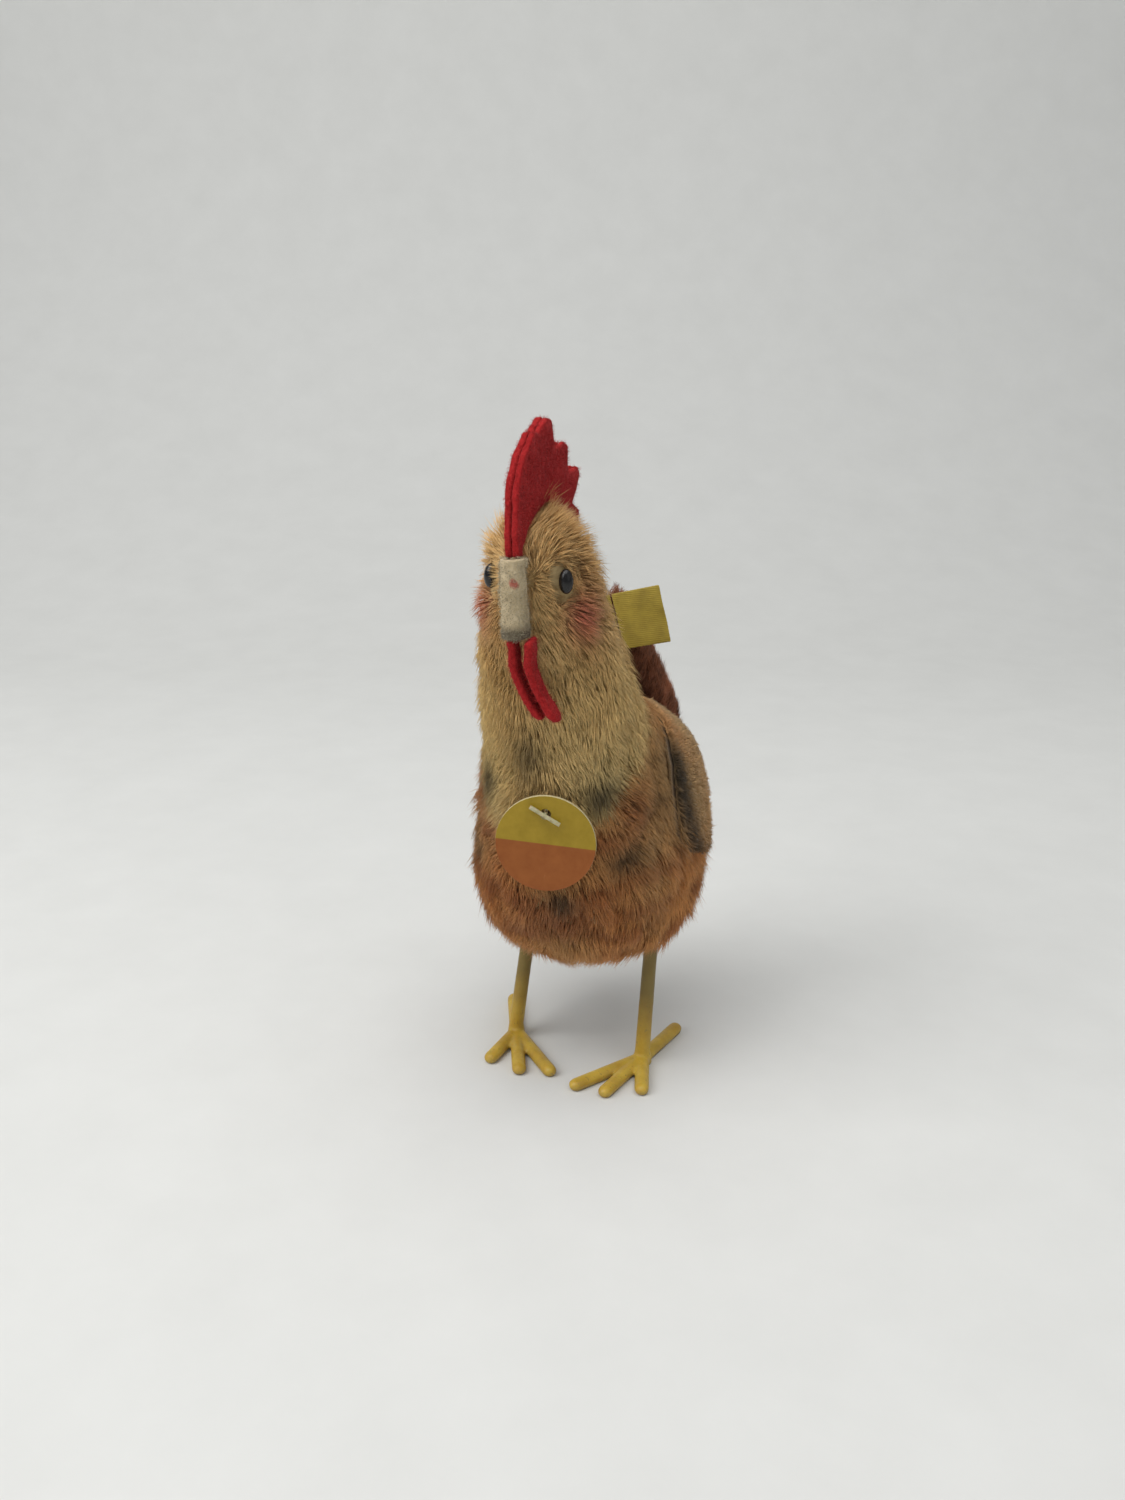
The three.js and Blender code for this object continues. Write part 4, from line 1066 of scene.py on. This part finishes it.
def comb_layer(side, sign):
    """One layer of the comb. Both bend sideways as one and lean together at the top."""
    def bend(points):
        rise = soft_step(points[:, 2], comb_low[2] + 0.35 * (comb_high[2] - comb_low[2]), comb_high[2])
        bent = points.copy()
        bent[:, 0] += rise * (-sign * 0.05 + 0.5 * comb_wave(points * np.array((0, 1, 1)))) * MM
        return bent

    layer = felted(f"comb_layer_{side}", f"comb_felt_{side}", "hen", red_felt, RED_FIBRE,
                   bend=bend)


def folded_beak():
    """The beak's strip of cream felt, grubby at its lower edge and with one red fleck."""
    dirt = (beak_low[2] + 1.8 * MM, beak_low[2] + 3.6 * MM, (0.075, 0.062, 0.045))
    fleck = ((FLECK[0], beak_low[1], beak_high[2] - FLECK[1]), 1.1 * MM, (0.42, 0.02, 0.03))
    cream_felt = felt_material("cream_felt", (0.44, 0.345, 0.205), (0.62, 0.51, 0.34), dirt, fleck)
    piece = felted("felt_beak", "beak", "hen", cream_felt, CREAM_FIBRE,
                   voxel=0.25 * MM, fuzz=12)


LAPPET_BOW = 1.7 * MM
LAPPET_SHIFTS = {"left": 0.5 * MM, "right": 0.0}  # the left lappet lies closer to the right one


def lappet(side):
    """A wattle, bowed towards the hen's right between its root and its tip."""
    low, high = box_of(f"wattle_{side}")

    def bend(points):
        down = np.clip((high[2] - points[:, 2]) / (high[2] - low[2]), 0, 1)
        bow = LAPPET_BOW * 4 * down * (1 - down) * np.clip(down * 3, 0, 1)
        bent = points.copy()
        bent[:, 0] -= bow + LAPPET_SHIFTS[side] * np.clip(down * 4, 0, 1)
        return bent

    felted(f"felt_wattle_{side}", f"wattle_{side}", f"wattle_{side}", red_felt, RED_FIBRE,
           bend=bend, plump=0.13 * MM)


for hand, hand_sign in HANDS:
    comb_layer(hand, hand_sign)
folded_beak()
for hand, _ in HANDS:
    lappet(hand)


# ---- legs, eyes and the tag's fastener ----
EYE_DEPTHS = {"left": 0.75 * MM, "right": 1.6 * MM}  # how far each eye is pressed into the pile


def refined(name, node_name, body, material, voxel, rounds):
    """A CAD node with its facets smoothed away."""
    piece = remeshed(name, joined(name, [node_name]), voxel, rounds, material)
    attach(piece, body)
    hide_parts(node_name)
    return piece


def oval_eye(side, sign):
    """An eye, pressed in further than its CAD solid."""
    eye = subdivided(f"oval_eye_{side}", f"eye_{side}", 2, polished)
    inward = Vector((-sign, 0.75, -0.1)).normalized()
    eye.data.transform(Matrix.Translation(inward * EYE_DEPTHS[side]))
    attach(eye, "hen")
    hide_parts(f"eye_{side}")


for hand, hand_sign in HANDS:
    refined(f"moulded_leg_{hand}", f"leg_{hand}", f"leg_{hand}", vinyl, 0.32 * MM, 5)
    oval_eye(hand, hand_sign)
fastener = refined("nylon_fastener", "tag_fastener", "hen", nylon, 0.12 * MM, 3)
moved_in(fastener.data, 0.1 * MM)


# ---- card tag ----
PRINT_SLANT = math.radians(5)
CARD_EDGE = 0.09 * MM  # how far the cut edge is rounded


def card_tag():
    """The round tag, with a bevelled rim of bare card."""
    low, high = box_of("hang_tag")
    print_material = card_material((low + high) / 2, math.tan(PRINT_SLANT))
    piece = new_piece("card_tag", nodes["hang_tag"].data.copy(), print_material)
    piece.data.materials.append(paper_rim_material())
    work = bmesh.new()
    work.from_mesh(piece.data)
    bmesh.ops.remove_doubles(work, verts=work.verts, dist=WELD_DISTANCE)
    joint = next(j for j in frame["joints"] if j["name"] == "tag_swing")
    facing = Vector(joint["axis"]).normalized()
    bmesh.ops.dissolve_limit(work, angle_limit=math.radians(1), verts=work.verts, edges=work.edges)
    rim_edges = [e for e in work.edges if e.calc_face_angle(0) > math.radians(40)]
    bmesh.ops.bevel(work, geom=rim_edges, offset=CARD_EDGE, segments=2, profile=0.6, affect="EDGES")
    for face in work.faces:
        face.material_index = 0 if abs(face.normal.dot(facing)) > 0.5 else 1
    work.to_mesh(piece.data)
    work.free()
    piece.data.polygons.foreach_set("use_smooth", np.zeros(len(piece.data.polygons), dtype=bool))
    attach(piece, "hang_tag")
    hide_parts("hang_tag")


card_tag()


# ---- ribbon ----
RIBBON_CURL = 0.9 * MM
RIBBON_THINNING = 0.8
RIBBON_WAVE = 0.15 * MM


def ribbon_piece(name, node_name, body, curl):
    """The ribbon, thinner than its CAD solid, with a soft curl towards its free end."""
    piece = remeshed(name, joined(name, [node_name]), 0.22 * MM, 2, ribbon)
    points = coordinates(piece.data)
    low, high = points.min(axis=0), points.max(axis=0)
    along = (points[:, 0] - low[0]) / (high[0] - low[0])
    middle = (low[1] + high[1]) / 2
    points[:, 1] = middle + (points[:, 1] - middle) * RIBBON_THINNING
    points[:, 1] -= curl * along ** 2 + RIBBON_WAVE * np.sin(points[:, 2] / MM * 0.8) * along
    set_coordinates(piece.data, points)
    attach(piece, body)
    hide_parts(node_name)
    return piece


ribbon_flag = ribbon_piece("ribbon_flag", "flag_label", "flag_label", RIBBON_CURL)
ribbon_piece("ribbon_tab", "flag_label_tab", "hen", 0.0)


# ---- CAD nodes that stay ----
LININGS = ["wing_lining_left", "wing_lining_right"]
KEPT_NODES = (
    (steel, ["leg_wire_left", "leg_wire_right", "hip_wire", "eye_shank_left", "eye_shank_right",
             "label_rivet", "rivet_washer"]),
    (wood_wool, ["tail_stuffing", "neck_stuffing", "body_stuffing"]),
    (cotton, LININGS),
)
for kept_material, kept_names in KEPT_NODES:
    for kept_name in kept_names:
        nodes[kept_name].data.materials.clear()
        nodes[kept_name].data.materials.append(kept_material)


# ---- floor ----
FLOOR_REACH = 1.6
FLOOR_DEPTH = 0.35  # flat this far behind the hen, and curved from there
FLOOR_BEND = 0.45  # radius of the curve
WALL_HEIGHT = 1.5
BEND_STEPS = 24


def make_floor():
    """A pale sheet of paper that curves up behind the hen."""
    work = bmesh.new()
    profile = [(-FLOOR_REACH, 0.0), (FLOOR_DEPTH, 0.0)]
    for step in range(1, BEND_STEPS + 1):
        turned = math.pi / 2 * step / BEND_STEPS
        profile.append((FLOOR_DEPTH + FLOOR_BEND * math.sin(turned), FLOOR_BEND * (1 - math.cos(turned))))
    profile.append((FLOOR_DEPTH + FLOOR_BEND, WALL_HEIGHT))
    turn = Matrix.Rotation(math.radians(VIEW_AZIMUTH), 3, "Z")
    rows = []
    for along, up in profile:
        ends = [Vector((across, along, up)) for across in (-FLOOR_REACH, FLOOR_REACH)]
        rows.append([work.verts.new(turn @ end) for end in ends])
    for near, far in zip(rows, rows[1:]):
        work.faces.new((near[0], near[1], far[1], far[0]))
    mesh = bpy.data.meshes.new("floor")
    work.to_mesh(mesh)
    work.free()
    floor = new_piece("floor", mesh, floor_material())


make_floor()

bpy.context.view_layer.update()
